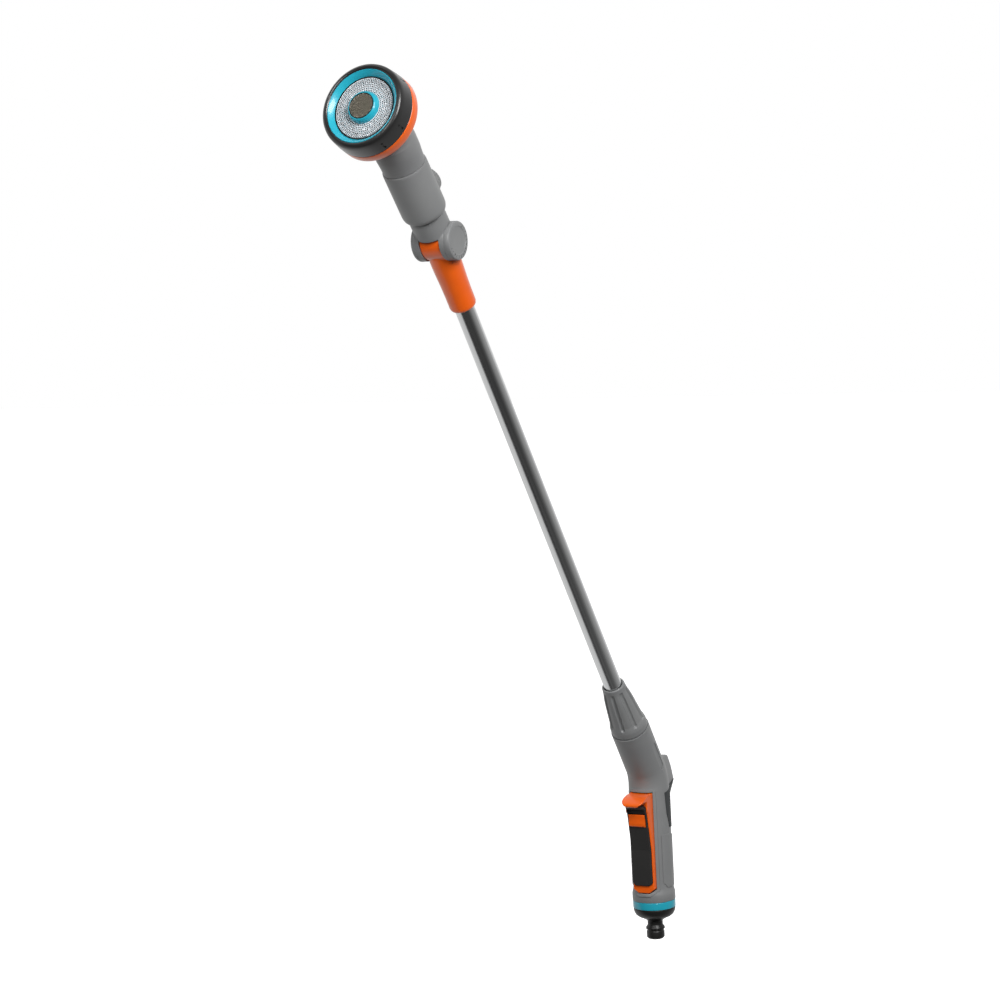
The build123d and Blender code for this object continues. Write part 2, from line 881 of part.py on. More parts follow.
nut_body = nut_top - 4.0 - nut_shoulder
with BuildPart() as collar_nut:
    turn(
        tube_plane,
        [
            (thread_radius + air_gap, nut_start),
            (nut_radius - 0.6, nut_start),
            (nut_radius, nut_start + 1.4),
            (nut_radius, nut_shoulder),
            (nut_radius - 0.6, nut_shoulder + 3.0),
            (nut_radius - 1.5, nut_shoulder + 6.0),
            (nut_radius - 2.6, nut_shoulder + 0.36 * nut_body),
            (nut_radius - 3.5, nut_shoulder + 0.56 * nut_body),
            (nut_radius - 4.7, nut_shoulder + 0.78 * nut_body),
            (nut_rim + 0.3, nut_top - 4.0),
            (nut_rim, nut_top - 1.0),
            (nut_rim - 0.5, nut_top),
            (tube_radius + 1.0, nut_top),
            (tube_radius + 0.4, nut_top - 2.0),
            (tube_radius + 0.4, collet_top + 2.4),
            (tube_bore + 1.2 + air_gap, collet_top + 0.6),
            (collet_radius + air_gap, collet_bottom + 2.3),
            (collet_radius + air_gap, socket_top + air_gap),
            (thread_radius + air_gap, socket_top + air_gap),
        ],
    )
    tube_axis = Axis(tube_plane.origin, tube_plane.z_dir)
    for number in range(flute_count):
        add(flute.part.rotate(tube_axis, 360 * number / flute_count), mode=Mode.SUBTRACT)
finish(collar_nut, "collar_nut")

with BuildPart() as wand_tube:
    tube(tube_plane, tube_radius, tube_radius - tube_wall, tube_start + fit_gap, tube_top)
finish(wand_tube, "wand_tube")

# ---------------------------------------------------------------- tilt joint, orange lower half
neck_seal_height = tube_top - 6.0
saddle_radius = cheek_radius + air_gap
port_radius = 4.5
neck_body = barrel_distance - 10.0 - joint_bottom
with BuildPart() as joint_neck:
    turn(
        tube_plane,
        [
            (tube_bore, joint_bottom),
            (joint_radius - 1.7, joint_bottom),
            (joint_radius, joint_bottom + 3.2),
            (joint_radius, joint_bottom + 0.27 * neck_body),
            (joint_radius + 0.5, joint_bottom + 0.51 * neck_body),
            (joint_shoulder, joint_bottom + 0.71 * neck_body),
            (joint_shoulder, joint_bottom + neck_body),
            (port_radius, joint_bottom + neck_body),
            (port_radius, tube_top + fit_gap),
            (tube_bore, tube_top + fit_gap),
        ],
    )
    seal_groove(tube_plane, tube_radius, seal_wire, neck_seal_height)
    drum(barrel_plane, saddle_radius, -cap_reach_left, -knuckle_half_width, Mode.SUBTRACT)
    drum(barrel_plane, saddle_radius, knuckle_half_width, cap_reach_right, Mode.SUBTRACT)
    drum(barrel_plane, knuckle_radius, -knuckle_half_width, knuckle_half_width)
    bore_end = knuckle_half_width + 1
    drum(barrel_plane, spindle_radius + run_gap, -bore_end, bore_end, Mode.SUBTRACT)
    for side in (-1, 1):
        seal_groove(barrel_plane, spindle_radius, small_wire + 0.1, side * pivot_ring_offset)
    drum(tube_plane, port_radius, tube_top, barrel_distance - spindle_radius, Mode.SUBTRACT)
finish(joint_neck, "joint_neck")

with BuildPart() as neck_seal:
    seal_ring(tube_plane, tube_radius, seal_wire - seal_gap, neck_seal_height)
finish(neck_seal, "neck_seal")

channel_offset = (knuckle_half_width + cheek_half_width) / 2 + 0.2
channel_radius = 1.5
spindle_port = 2.8
spindle_half_length = cheek_half_width - 0.2
with BuildPart() as pivot_spindle:
    tube(barrel_plane, spindle_radius, spindle_bore, -spindle_half_length, spindle_half_length)
    drum(tilt_plane, spindle_port, -spindle_radius - 1, 0, Mode.SUBTRACT)
    for side in (-1, 1):
        port_plane = shifted(tilt_plane, side * channel_offset, 0)
        drum(port_plane, channel_radius, 0, spindle_radius + 1, Mode.SUBTRACT)
finish(pivot_spindle, "pivot_spindle")

with BuildPart() as pivot_o_rings:
    for side in (-1, 1):
        seal_ring(barrel_plane, spindle_radius + seal_gap, small_wire, side * pivot_ring_offset)
finish(pivot_o_rings, "pivot_o_rings")

# ---------------------------------------------------------------- tilt joint, grey upper half
cheek_start = knuckle_half_width + air_gap
sleeve_inside = sleeve_radius - sleeve_wall
knob_boss_radius = knob_radius + 0.7
with BuildPart() as tilt_fork:
    drum(tilt_plane, fork_radius, web_bottom, sleeve_start)
    for side in (-1, 1):
        low, high = sorted((side * cheek_start, side * cheek_half_width))
        drum(barrel_plane, cheek_radius, low, high)
        low, high = sorted((side * cheek_half_width, side * cap_reach_right))
        drum(barrel_plane, cheek_radius + 0.1, low, high, Mode.SUBTRACT)
    drum(barrel_plane, knuckle_radius + air_gap, -cheek_start, cheek_start, Mode.SUBTRACT)
    fork_spigot = sleeve_inside - fit_gap
    spigot_end = flow_height - knob_boss_radius - seam_gap
    tube(tilt_plane, fork_spigot, sleeve_inside - 3.0, sleeve_start - 1, spigot_end)
    bore_end = cheek_half_width + 1
    drum(barrel_plane, spindle_radius + fit_gap, -bore_end, bore_end, Mode.SUBTRACT)
    for side in (-1, 1):
        port_plane = shifted(tilt_plane, side * channel_offset, 0)
        drum(port_plane, channel_radius, 0, sleeve_start + 1, Mode.SUBTRACT)
finish(tilt_fork, "tilt_fork")

cap_edge = 1.2


def end_cap(side, reach):
    """The outline of a round end cap on one side of the joint."""
    inner, outer = side * cheek_half_width, side * reach
    return [
        (0, inner),
        (cheek_radius, inner),
        (cheek_radius, outer - side * cap_edge),
        (cheek_radius - cap_edge, outer),
        (0, outer),
    ]


with BuildPart() as tilt_cap_right:
    turn(barrel_plane, end_cap(1, cap_reach_right))
finish(tilt_cap_right, "tilt_cap_right")

with BuildPart() as tilt_cap_left:
    turn(barrel_plane, end_cap(-1, cap_reach_left))
finish(tilt_cap_left, "tilt_cap_left")

# ---------------------------------------------------------------- head sleeve and flow control
boss_inside = 12.5
with BuildPart() as head_sleeve:
    turn(
        tilt_plane,
        [
            (sleeve_inside, sleeve_start + fit_gap),
            (sleeve_inside + 0.7, sleeve_start + fit_gap),
            (sleeve_radius - 0.6, sleeve_start + 2.0),
            (sleeve_radius, sleeve_start + 5.0),
            (sleeve_radius + 0.1, sleeve_top - 1.4),
            (sleeve_radius - 0.6, sleeve_top),
            (sleeve_inside, sleeve_top),
        ],
    )
    drum(knob_plane, knob_boss_radius, boss_inside, knob_seat)
    drum(knob_plane, knob_boss_radius, knob_seat, sleeve_radius + 5, Mode.SUBTRACT)
    drum(knob_plane, spindle_rod + air_gap, boss_inside - 1, knob_seat + 1, Mode.SUBTRACT)
finish(head_sleeve, "head_sleeve")

flow_low = flow_height - 10.0
flow_high = flow_height + 10.0
spindle_end = 8.0
with BuildPart() as flow_body:
    drum(tilt_plane, sleeve_inside - fit_gap, flow_low, flow_high)
    # a flat at the back makes room for the sleeve's knob boss
    flat = boss_inside - fit_gap
    block(knob_plane, 2 * sleeve_radius, 2 * sleeve_radius, flat, sleeve_radius, Mode.SUBTRACT)
    drum(tilt_plane, flow_port + 1.2, flow_low - 1, flow_high + 1, Mode.SUBTRACT)
    drum(knob_plane, spindle_rod + run_gap, -spindle_end - air_gap, boss_inside + 1, Mode.SUBTRACT)
    seal_groove(knob_plane, spindle_rod, small_wire + 0.1, flow_ring_height)
finish(flow_body, "flow_body")

with BuildPart() as flow_o_ring:
    seal_ring(knob_plane, spindle_rod + seal_gap, small_wire, flow_ring_height)
finish(flow_o_ring, "flow_o_ring")

knob_bottom = knob_seat + air_gap
shaft_end = knob_face - 1.6
with BuildPart() as flow_spindle:
    drum(knob_plane, spindle_rod, -spindle_end, shaft_end)
    drum(tilt_plane, flow_port, flow_low, flow_high, Mode.SUBTRACT)
    screw_bottom = shaft_end - screw_length
    drum(knob_plane, screw_radius + fit_gap, screw_bottom - 0.2, shaft_end + 1, Mode.SUBTRACT)
finish(flow_spindle, "flow_spindle")

screw_seat = knob_face - 0.9
with BuildPart() as flow_knob:
    turn(
        knob_plane,
        [
            (screw_radius + fit_gap, shaft_end + fit_gap),
            (spindle_rod + fit_gap, shaft_end + fit_gap),
            (spindle_rod + fit_gap, knob_bottom),
            (knob_radius, knob_bottom),
            (knob_radius, knob_face - 1.2),
            (knob_radius - 1.2, knob_face),
            (screw_head + 0.2, knob_face),
            (screw_head + 0.2, screw_seat),
            (screw_radius + fit_gap, screw_seat),
        ],
    )
    for side in (-1, 1):
        with BuildSketch(knob_plane.offset(knob_face - 0.2)) as ridge:
            with Locations((0, side * 8.0)):
                RectangleRounded(3.0, 8.0, 1.2)
        extrude(ridge.sketch, amount=1.6)
finish(flow_knob, "flow_knob")

with BuildPart() as knob_screw:
    drum(knob_plane, screw_radius, screw_bottom, screw_seat)
    drum(knob_plane, screw_head, screw_seat, knob_face - 0.1)
    block(knob_plane, 4.2, 0.8, knob_face - 0.5, knob_face + 1, Mode.SUBTRACT)
finish(knob_screw, "knob_screw")

# ---------------------------------------------------------------- head housing
ring_back = rim_depth + air_gap + ring_depth
dome_front = ring_back + fit_gap
throat_height = 103.0
dome_radius = 31.5
dome_waist = 23.8
dome_flare = 8.0
dome_spigot = 30.0
dome_spigot_front = 11.5


def head_circles(inset):
    """Circles from the throat to the back of the spray face, each set in by the wall."""
    stations = [
        (tilt_plane.offset(throat_height), sleeve_radius),
        (face_plane.offset(-dome_front - dome_flare), dome_waist),
        (face_plane.offset(-dome_front), dome_radius),
    ]
    circles = []
    for station, radius in stations:
        with BuildSketch(station) as circle:
            Circle(radius - inset)
        circles.append(circle.sketch)
    return circles


with BuildPart() as head_housing:
    turn(
        tilt_plane,
        [
            (0, sleeve_top - 8.0),
            (sleeve_inside - fit_gap, sleeve_top - 8.0),
            (sleeve_inside - fit_gap, sleeve_top + seam_gap),
            (sleeve_radius - 0.8, sleeve_top + seam_gap),
            (sleeve_radius - 0.7, sleeve_top + 5.0),
            (sleeve_radius, sleeve_top + 14.0),
            (sleeve_radius, throat_height),
            (0, throat_height),
        ],
    )
    loft(head_circles(0))
    drum(tilt_plane, sleeve_inside - 3.0, sleeve_top - 9.0, throat_height, Mode.SUBTRACT)
    loft(head_circles(dome_wall + 0.6), mode=Mode.SUBTRACT)
    tube(face_plane, dome_spigot, dome_spigot - dome_wall, -dome_front - 2.0, -dome_spigot_front)
finish(head_housing, "head_housing")

with BuildPart() as orange_ring:
    turn(
        face_plane,
        [
            (dome_spigot + fit_gap, -ring_back),
            (dome_radius, -ring_back),
            (rim_radius + rim_flare, -ring_back + 1.6),
            (rim_radius + rim_flare, -rim_depth - air_gap - 0.6),
            (rim_radius + rim_flare - 0.5, -rim_depth - air_gap),
            (dome_spigot + fit_gap, -rim_depth - air_gap),
        ],
    )
finish(orange_ring, "orange_ring")

# ---------------------------------------------------------------- spray face
bezel_back = 9.6
hub_top = 7.4
axle_screw_radius = 1.5
inner_floor = bezel_back - 1.8
with BuildPart() as distributor:
    drum(face_plane, dome_spigot - dome_wall - fit_gap, -dome_spigot_front - 3.0, -dome_spigot_front - 0.6)
    drum(face_plane, axle_radius, -dome_spigot_front - 1, -hub_top)
    bore = axle_screw_radius + fit_gap
    drum(face_plane, bore, -dome_spigot_front - 1, -hub_top + 1, Mode.SUBTRACT)
    with BuildSketch(face_plane.offset(-dome_spigot_front)) as ports:
        with PolarLocations(outer_ports, 8):
            Circle(2.6)
        with PolarLocations(inner_ports, 4):
            Circle(1.8)
    extrude(ports.sketch, amount=-4.0, mode=Mode.SUBTRACT)
finish(distributor, "distributor")

with BuildPart() as face_seal:
    tube(face_plane, 15.8, 13.4, -dome_spigot_front - 0.6, -bezel_back - air_gap)
finish(face_seal, "face_seal")

with BuildPart() as selector_ring:
    turn(
        face_plane,
        [
            (dome_spigot + air_gap, -rim_depth),
            (rim_radius + rim_flare - 0.4, -rim_depth),
            (rim_radius + rim_flare, -rim_depth + 0.5),
            (rim_radius, -3.0),
            (rim_radius - 0.5, -1.2),
            (rim_radius - 1.8, -0.2),
            (rim_radius - 2.8, 0),
            (bezel_radius + 0.3, -0.3),
            (bezel_radius + fit_gap, -0.8),
            (bezel_radius + fit_gap, -bezel_back),
            (dome_spigot + air_gap, -bezel_back),
        ],
    )
    # plain marks on the side show the spray positions
    for angle in mark_angles:
        with BuildSketch(upright(face_plane)) as mark:
            with Locations((rim_radius + 2.4, -rim_depth * 0.62)):
                Rectangle(4.6, 5.0)
        with BuildPart(mode=Mode.PRIVATE) as notch:
            extrude(mark.sketch, amount=0.7, both=True)
        spun = notch.part.rotate(Axis(face_plane.origin, face_plane.z_dir), angle)
        add(spun, mode=Mode.SUBTRACT)
finish(selector_ring, "selector_ring")

ledge = plate_depth + plate_thickness
with BuildPart() as face_bezel:
    turn(
        face_plane,
        [
            (bezel_radius - 0.5, -0.6),
            (bezel_radius, -1.0),
            (bezel_radius, -bezel_back),
            (plate_radius - 2.4, -bezel_back),
            (plate_radius - 2.4, -ledge),
            (plate_radius + fit_gap, -ledge),
            (plate_radius + 0.5, -plate_depth - 0.6),
        ],
    )
finish(face_bezel, "face_bezel")

with BuildPart() as spray_plate:
    tube(face_plane, plate_radius, cone_base + fit_gap, -ledge, -plate_depth)
finish(spray_plate, "spray_plate")

cone_inside = mesh_radius + 0.8
with BuildPart() as centre_cone:
    turn(
        face_plane,
        [
            (axle_radius + run_gap, -bezel_back),
            (plate_radius - 2.5, -bezel_back),
            (plate_radius - 2.5, -ledge - fit_gap),
            (cone_base, -ledge - fit_gap),
            (cone_base, -plate_depth),
            (cone_top, -0.6),
            (cone_inside + fit_gap, -0.6),
            (cone_inside + fit_gap, -inner_floor),
            (axle_radius + run_gap, -inner_floor),
        ],
    )
    with BuildSketch(face_plane.offset(-bezel_back - 1)) as ports:
        with PolarLocations(outer_ports, 24):
            Circle(1.2)
        with PolarLocations(inner_ports, 6):
            Circle(1.2)
    extrude(ports.sketch, amount=4.0, mode=Mode.SUBTRACT)
finish(centre_cone, "centre_cone")

mesh_front = 0.7
with BuildPart() as mesh_ring:
    turn(
        face_plane,
        [
            (mesh_radius - 0.8, -inner_floor),
            (cone_inside, -inner_floor),
            (cone_inside, -0.2),
            (mesh_radius + fit_gap, -0.2),
            (mesh_radius + fit_gap, -mesh_front - mesh_thickness),
            (mesh_radius - 0.8, -mesh_front - mesh_thickness),
        ],
    )
finish(mesh_ring, "mesh_ring")

with BuildPart() as mesh_screen:
    drum(face_plane, mesh_radius, -mesh_front - mesh_thickness, -mesh_front)
finish(mesh_screen, "mesh_screen")

with BuildPart() as axle_screw:
    drum(face_plane, axle_screw_radius, -dome_spigot_front, -hub_top)
    drum(face_plane, axle_radius + 2.0, -hub_top, -hub_top + 1.6)
    block(face_plane, 6.0, 1.0, -hub_top + 0.9, -hub_top + 2, Mode.SUBTRACT)
finish(axle_screw, "axle_screw")
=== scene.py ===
import bpy
from math import atan2, cos, pi, radians, sin, sqrt
from mathutils import Matrix, Vector


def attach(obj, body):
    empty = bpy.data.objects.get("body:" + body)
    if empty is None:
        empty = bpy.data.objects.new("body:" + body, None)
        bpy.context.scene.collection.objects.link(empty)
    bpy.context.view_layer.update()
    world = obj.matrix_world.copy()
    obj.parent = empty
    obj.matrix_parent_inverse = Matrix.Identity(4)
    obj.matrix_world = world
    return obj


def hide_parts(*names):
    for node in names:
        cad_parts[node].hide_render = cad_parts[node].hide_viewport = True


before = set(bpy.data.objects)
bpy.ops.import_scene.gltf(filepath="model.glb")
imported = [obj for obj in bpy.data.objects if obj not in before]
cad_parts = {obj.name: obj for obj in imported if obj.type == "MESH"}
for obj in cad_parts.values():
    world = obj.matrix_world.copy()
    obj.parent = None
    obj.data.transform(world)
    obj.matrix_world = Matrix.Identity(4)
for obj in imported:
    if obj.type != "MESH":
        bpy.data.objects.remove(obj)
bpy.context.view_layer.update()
print("frame loaded:", len(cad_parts), "nodes")

# every piece is drawn in millimetres round its own axis, then put in its place
millimetres = Matrix.Scale(0.001, 4)
layout = {"elbow": 155.7, "bend": 33.6, "bendRadius": 40.0, "joint": 615.6, "headTilt": 4.0,
          "faceRise": 155.5, "faceForward": 19.6, "faceLean": 29.9, "knob": 49.5}
gripPlace = Matrix.Identity(4)
tubePlace = Matrix.Translation((0, 0, layout["elbow"])) @ Matrix.Rotation(radians(layout["bend"]), 4, "X")
jointPlace = (tubePlace @ Matrix.Translation((0, 0, layout["joint"]))
              @ Matrix.Rotation(radians(layout["headTilt"]), 4, "X"))
facePlace = (jointPlace @ Matrix.Translation((0, -layout["faceForward"], layout["faceRise"]))
             @ Matrix.Rotation(radians(layout["faceLean"]), 4, "X"))
# the tilt barrel lies across the wand, and the knob's axis points back
barrelInJoint = Matrix(((0, 0, 1, 0), (1, 0, 0, 0), (0, 1, 0, 0), (0, 0, 0, 1)))
barrelInTube = Matrix.Translation((0, 0, layout["joint"])) @ barrelInJoint
barrelPlace = jointPlace @ barrelInJoint
knobInJoint = Matrix.Translation((0, 0, layout["knob"])) @ Matrix.Rotation(radians(-90), 4, "X")
knobPlace = jointPlace @ knobInJoint


# small modelling helpers
def takeUp(*pieces):
    if bpy.context.mode != "OBJECT":
        bpy.ops.object.mode_set(mode="OBJECT")
    bpy.ops.object.select_all(action="DESELECT")
    for piece in pieces:
        piece.select_set(True)
    if pieces:
        bpy.context.view_layer.objects.active = pieces[0]


def editAll(piece, how="VERT"):
    takeUp(piece)
    bpy.ops.object.mode_set(mode="EDIT")
    bpy.ops.mesh.select_mode(type=how)
    bpy.ops.mesh.select_all(action="SELECT")


def nameIt(name):
    piece = bpy.context.active_object
    piece.name = name
    piece.data.name = name
    return piece


def drawLoop(name, points):
    # a closed wire, drawn point by point from one vertex
    takeUp()
    bpy.ops.mesh.primitive_plane_add(size=1)
    piece = nameIt(name)
    editAll(piece)
    bpy.ops.mesh.merge(type="CENTER")
    bpy.ops.transform.translate(value=points[0])
    for last, point in zip(points, points[1:] + points[:1]):
        step = Vector(point) - Vector(last)
        bpy.ops.mesh.extrude_vertices_move(TRANSFORM_OT_translate={"value": step})
    bpy.ops.mesh.select_all(action="SELECT")
    bpy.ops.mesh.remove_doubles(threshold=0.0005)
    return piece


def turnPiece(name, outline, steps=128):
    # outline points are (radius, height) round the local z axis
    piece = drawLoop(name, [(radius, 0, height) for radius, height in outline])
    bpy.ops.mesh.select_all(action="SELECT")
    bpy.ops.mesh.spin(steps=steps, angle=2 * pi, center=(0, 0, 0), axis=(0, 0, 1))
    bpy.ops.mesh.select_all(action="SELECT")
    bpy.ops.mesh.remove_doubles(threshold=0.0005)
    bpy.ops.mesh.normals_make_consistent(inside=False)
    bpy.ops.object.mode_set(mode="OBJECT")
    return piece


def prism(name, points, push):
    # a flat outline in space, pushed along a direction into a solid
    piece = drawLoop(name, points)
    bpy.ops.mesh.select_all(action="SELECT")
    bpy.ops.mesh.edge_face_add()
    bpy.ops.mesh.extrude_region_move(TRANSFORM_OT_translate={"value": push})
    bpy.ops.mesh.select_all(action="SELECT")
    bpy.ops.mesh.normals_make_consistent(inside=False)
    bpy.ops.object.mode_set(mode="OBJECT")
    return piece


def bar(name, radius, low, high, place=None, sides=96):
    # a round bar on a local z axis, turned with the given place
    takeUp()
    bpy.ops.mesh.primitive_cylinder_add(vertices=sides, radius=radius, depth=high - low,
                                        location=(0, 0, (low + high) / 2))
    piece = nameIt(name)
    if place is not None:
        piece.matrix_world = place @ piece.matrix_world
    applyPlace(piece)
    return piece


def applyPlace(piece):
    takeUp(piece)
    bpy.ops.object.transform_apply(location=True, rotation=True, scale=True)


def modify(piece, kind, **settings):
    takeUp(piece)
    modifier = piece.modifiers.new(kind.title(), kind)
    for name, value in settings.items():
        setattr(modifier, name, value)
    bpy.ops.object.modifier_apply(modifier=modifier.name)
    return piece


def combine(piece, other, how="DIFFERENCE"):
    modify(piece, "BOOLEAN", operation=how, object=other, solver="EXACT")
    bpy.data.objects.remove(other)
    return piece


def softEdges(piece, width, segments=3, angle=30):
    return modify(piece, "BEVEL", width=width, segments=segments, limit_method="ANGLE",
                  angle_limit=radians(angle), use_clamp_overlap=True)


def mouldedSkin(piece, voxel, passes):
    # one closed skin with every edge a little rounded, as a mould leaves it
    modify(piece, "REMESH", mode="VOXEL", voxel_size=voxel)
    return modify(piece, "SMOOTH", factor=0.5, iterations=passes)


def joinPieces(name, pieces):
    takeUp(*pieces)
    bpy.ops.object.join()
    return nameIt(name)


def copyPiece(piece, name):
    takeUp(piece)
    bpy.ops.object.duplicate()
    return nameIt(name)


def keepSide(piece, point, normal):
    # cut along a plane and keep the side its normal points away from
    editAll(piece)
    bpy.ops.mesh.bisect(plane_co=point, plane_no=normal, clear_outer=True, clear_inner=False)
    bpy.ops.object.mode_set(mode="OBJECT")
    return piece


def finishPiece(piece, place, body, material, nodes=(), angle=35):
    piece.matrix_world = millimetres @ place @ piece.matrix_world
    applyPlace(piece)
    takeUp(piece)
    bpy.ops.object.shade_smooth_by_angle(angle=radians(angle))
    if len(piece.data.materials) < 2:
        piece.data.materials.clear()
        piece.data.materials.append(material)
    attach(piece, body)
    if nodes:
        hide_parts(*nodes)
    return piece


# materials
def hexColour(code, alpha=1.0):
    parts = [int(code[start:start + 2], 16) / 255 for start in (1, 3, 5)]
    return [part / 12.92 if part <= 0.04045 else ((part + 0.055) / 1.055) ** 2.4 for part in parts] + [alpha]


def addNode(tree, kind, values=None, links=None, **settings):
    node = tree.nodes.new(kind)
    for name, value in settings.items():
        setattr(node, name, value)
    for socket, value in (values or {}).items():
        node.inputs[socket].default_value = value
    for socket, source in (links or {}).items():
        tree.links.new(source, node.inputs[socket])
    return node


def startMaterial(name, **values):
    material = bpy.data.materials.new(name)
    material.use_nodes = True
    tree = material.node_tree
    shader = tree.nodes["Principled BSDF"]
    for socket, value in values.items():
        shader.inputs[socket.replace("_", " ")].default_value = value
    place = addNode(tree, "ShaderNodeTexCoord").outputs["Object"]
    return material, tree, shader, place


def mouldedPlastic(name, light, dark, roughness, grain, depth, drift=0.04, coat=0.0, ior=1.5):
    # injection-moulded plastic: a fine spark-eroded grain, and a slow drift of tone and shine
    material, tree, shader, place = startMaterial(name, IOR=ior, Coat_Weight=coat, Coat_Roughness=0.12)
    slow = addNode(tree, "ShaderNodeTexNoise", {"Scale": 22.0, "Detail": 3.0}, {"Vector": place})
    tone = addNode(tree, "ShaderNodeValToRGB", links={"Fac": slow.outputs["Fac"]})
    tone.color_ramp.elements[0].position = 0.35
    tone.color_ramp.elements[0].color = hexColour(dark)
    tone.color_ramp.elements[1].position = 0.65
    tone.color_ramp.elements[1].color = hexColour(light)
    tree.links.new(tone.outputs["Color"], shader.inputs["Base Color"])
    shine = addNode(tree, "ShaderNodeMapRange", {"To Min": roughness - drift, "To Max": roughness + drift},
                    {"Value": slow.outputs["Fac"]})
    tree.links.new(shine.outputs["Result"], shader.inputs["Roughness"])
    fine = addNode(tree, "ShaderNodeTexNoise", {"Scale": 1000.0 / grain, "Detail": 2.0}, {"Vector": place})
    bump = addNode(tree, "ShaderNodeBump", {"Strength": 0.35, "Distance": depth * 0.001},
                   {"Height": fine.outputs["Fac"]})
    tree.links.new(bump.outputs["Normal"], shader.inputs["Normal"])
    return material


# grain sizes are in millimetres: 0.5 is drawn coarser than a real mould's 0.1 so that it shows
greyPolyamide = mouldedPlastic("greyPolyamide", "#7f8080", "#797a7b", 0.42, 0.5, 0.05)
orangeAbs = mouldedPlastic("orangeAbs", "#ee6410", "#e65d0c", 0.30, 1.6, 0.03, 0.03, 0.25)
turquoiseAbs = mouldedPlastic("turquoiseAbs", "#27a3b8", "#219bb0", 0.30, 1.6, 0.03, 0.03, 0.25)
blackPolyamide = mouldedPlastic("blackPolyamide", "#1d1d1c", "#191918", 0.38, 0.5, 0.05)
blackGlossAbs = mouldedPlastic("blackGlossAbs", "#242424", "#1f1f1f", 0.30, 0.7, 0.03, 0.04, 0.2)
softGripTpe = mouldedPlastic("softGripTpe", "#242322", "#1f1e1d", 0.62, 0.4, 0.08)
palmTpe = mouldedPlastic("palmTpe", "#3b3e3f", "#343738", 0.66, 0.4, 0.08)
whiteAcetal = mouldedPlastic("whiteAcetal", "#e9ebee", "#e2e5e9", 0.34, 0.8, 0.02)
innerAcetal = mouldedPlastic("innerAcetal", "#d9d8d2", "#d0cfc8", 0.45, 0.8, 0.03)
nitrileRubber = mouldedPlastic("nitrileRubber", "#151515", "#111111", 0.55, 0.4, 0.05)


def metalMaterial(name, light, dark, roughness, stretch, depth, place=None, aniso=0.0):
    # metal with fine lines drawn into it; stretch sets how long the lines run on each axis
    material, tree, shader, coords = startMaterial(name, Metallic=1.0, Anisotropic=aniso)
    turned = addNode(tree, "ShaderNodeMapping", {"Scale": stretch, "Rotation": place or (0, 0, 0)},
                     {"Vector": coords}, vector_type="TEXTURE")
    lines = addNode(tree, "ShaderNodeTexNoise", {"Scale": 1.0, "Detail": 3.0},
                    {"Vector": turned.outputs["Vector"]})
    tone = addNode(tree, "ShaderNodeValToRGB", links={"Fac": lines.outputs["Fac"]})
    tone.color_ramp.elements[0].position = 0.3
    tone.color_ramp.elements[0].color = hexColour(dark)
    tone.color_ramp.elements[1].position = 0.7
    tone.color_ramp.elements[1].color = hexColour(light)
    tree.links.new(tone.outputs["Color"], shader.inputs["Base Color"])
    shine = addNode(tree, "ShaderNodeMapRange", {"To Min": roughness * 0.75, "To Max": roughness * 1.25},
                    {"Value": lines.outputs["Fac"]})
    tree.links.new(shine.outputs["Result"], shader.inputs["Roughness"])
    bump = addNode(tree, "ShaderNodeBump", {"Strength": 0.3, "Distance": depth * 0.001},
                   {"Height": lines.outputs["Fac"]})
    tree.links.new(bump.outputs["Normal"], shader.inputs["Normal"])
    return material


# drawn and anodised tube: long streaks along the tube, a few tenths of a millimetre wide
anodisedTube = metalMaterial("anodisedTube", "#dcdddd", "#cfd0d1", 0.17, (0.0004, 0.0004, 0.06), 0.01,
                             (radians(layout["bend"]), 0, 0))
wovenSteel = metalMaterial("wovenSteel", "#b7b1a4", "#8f8a7d", 0.38, (0.0006, 0.0006, 0.0006), 0.02)
zincPlatedSteel = metalMaterial("zincPlatedSteel", "#c4c5c8", "#b2b4b8", 0.3, (0.002, 0.002, 0.002), 0.01)

carried = {
    "wand_tube": anodisedTube, "head_housing": greyPolyamide, "tube_socket": blackPolyamide,
    "mesh_screen": wovenSteel, "valve_spring": zincPlatedSteel, "trigger_pin": zincPlatedSteel,
    "axle_screw": zincPlatedSteel, "knob_screw": zincPlatedSteel, "tube_seal": nitrileRubber,
    "neck_seal": nitrileRubber, "pivot_o_rings": nitrileRubber, "flow_o_ring": nitrileRubber,
    "face_seal": nitrileRubber,
}
for nodeName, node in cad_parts.items():
    node.data.materials.clear()
    node.data.materials.append(carried.get(nodeName, innerAcetal))
print("materials made")

# hose connector and its ring
connector = {"bore": 5.0, "tip": 1.6, "land": 8.5, "ridge": 9.0, "waist": 7.3, "cap": 19.9, "spigot": 17.95}
piece = turnPiece("hoseInlet", [
    (connector["bore"], -connector["tip"]), (connector["land"] - 1.6, -connector["tip"]),
    (connector["land"], 0), (connector["land"], 5.8),
    (connector["land"] - 0.8, 6.3), (connector["land"] - 0.8, 7.2), (connector["ridge"], 7.8),
    (connector["ridge"], 9.5),
    (connector["waist"], 11.8), (connector["waist"], 15.8), (connector["land"] + 0.6, 17.3),
    (connector["land"] + 3.0, 18.6),
    (connector["cap"] - 4.6, 20.3), (connector["cap"] - 2.0, 22.4), (connector["cap"] - 0.6, 25.0),
    (connector["cap"], 27.6),
    (connector["cap"], 29.0), (connector["spigot"], 29.0), (connector["spigot"], 42.4),
    (connector["spigot"] - 3.4, 42.4),
    (connector["spigot"] - 3.4, 25.0), (connector["bore"], 25.0)])
softEdges(piece, 0.35, 3, 24)
finishPiece(piece, gripPlace, "handle", blackPolyamide, ["hose_connector"], 40)

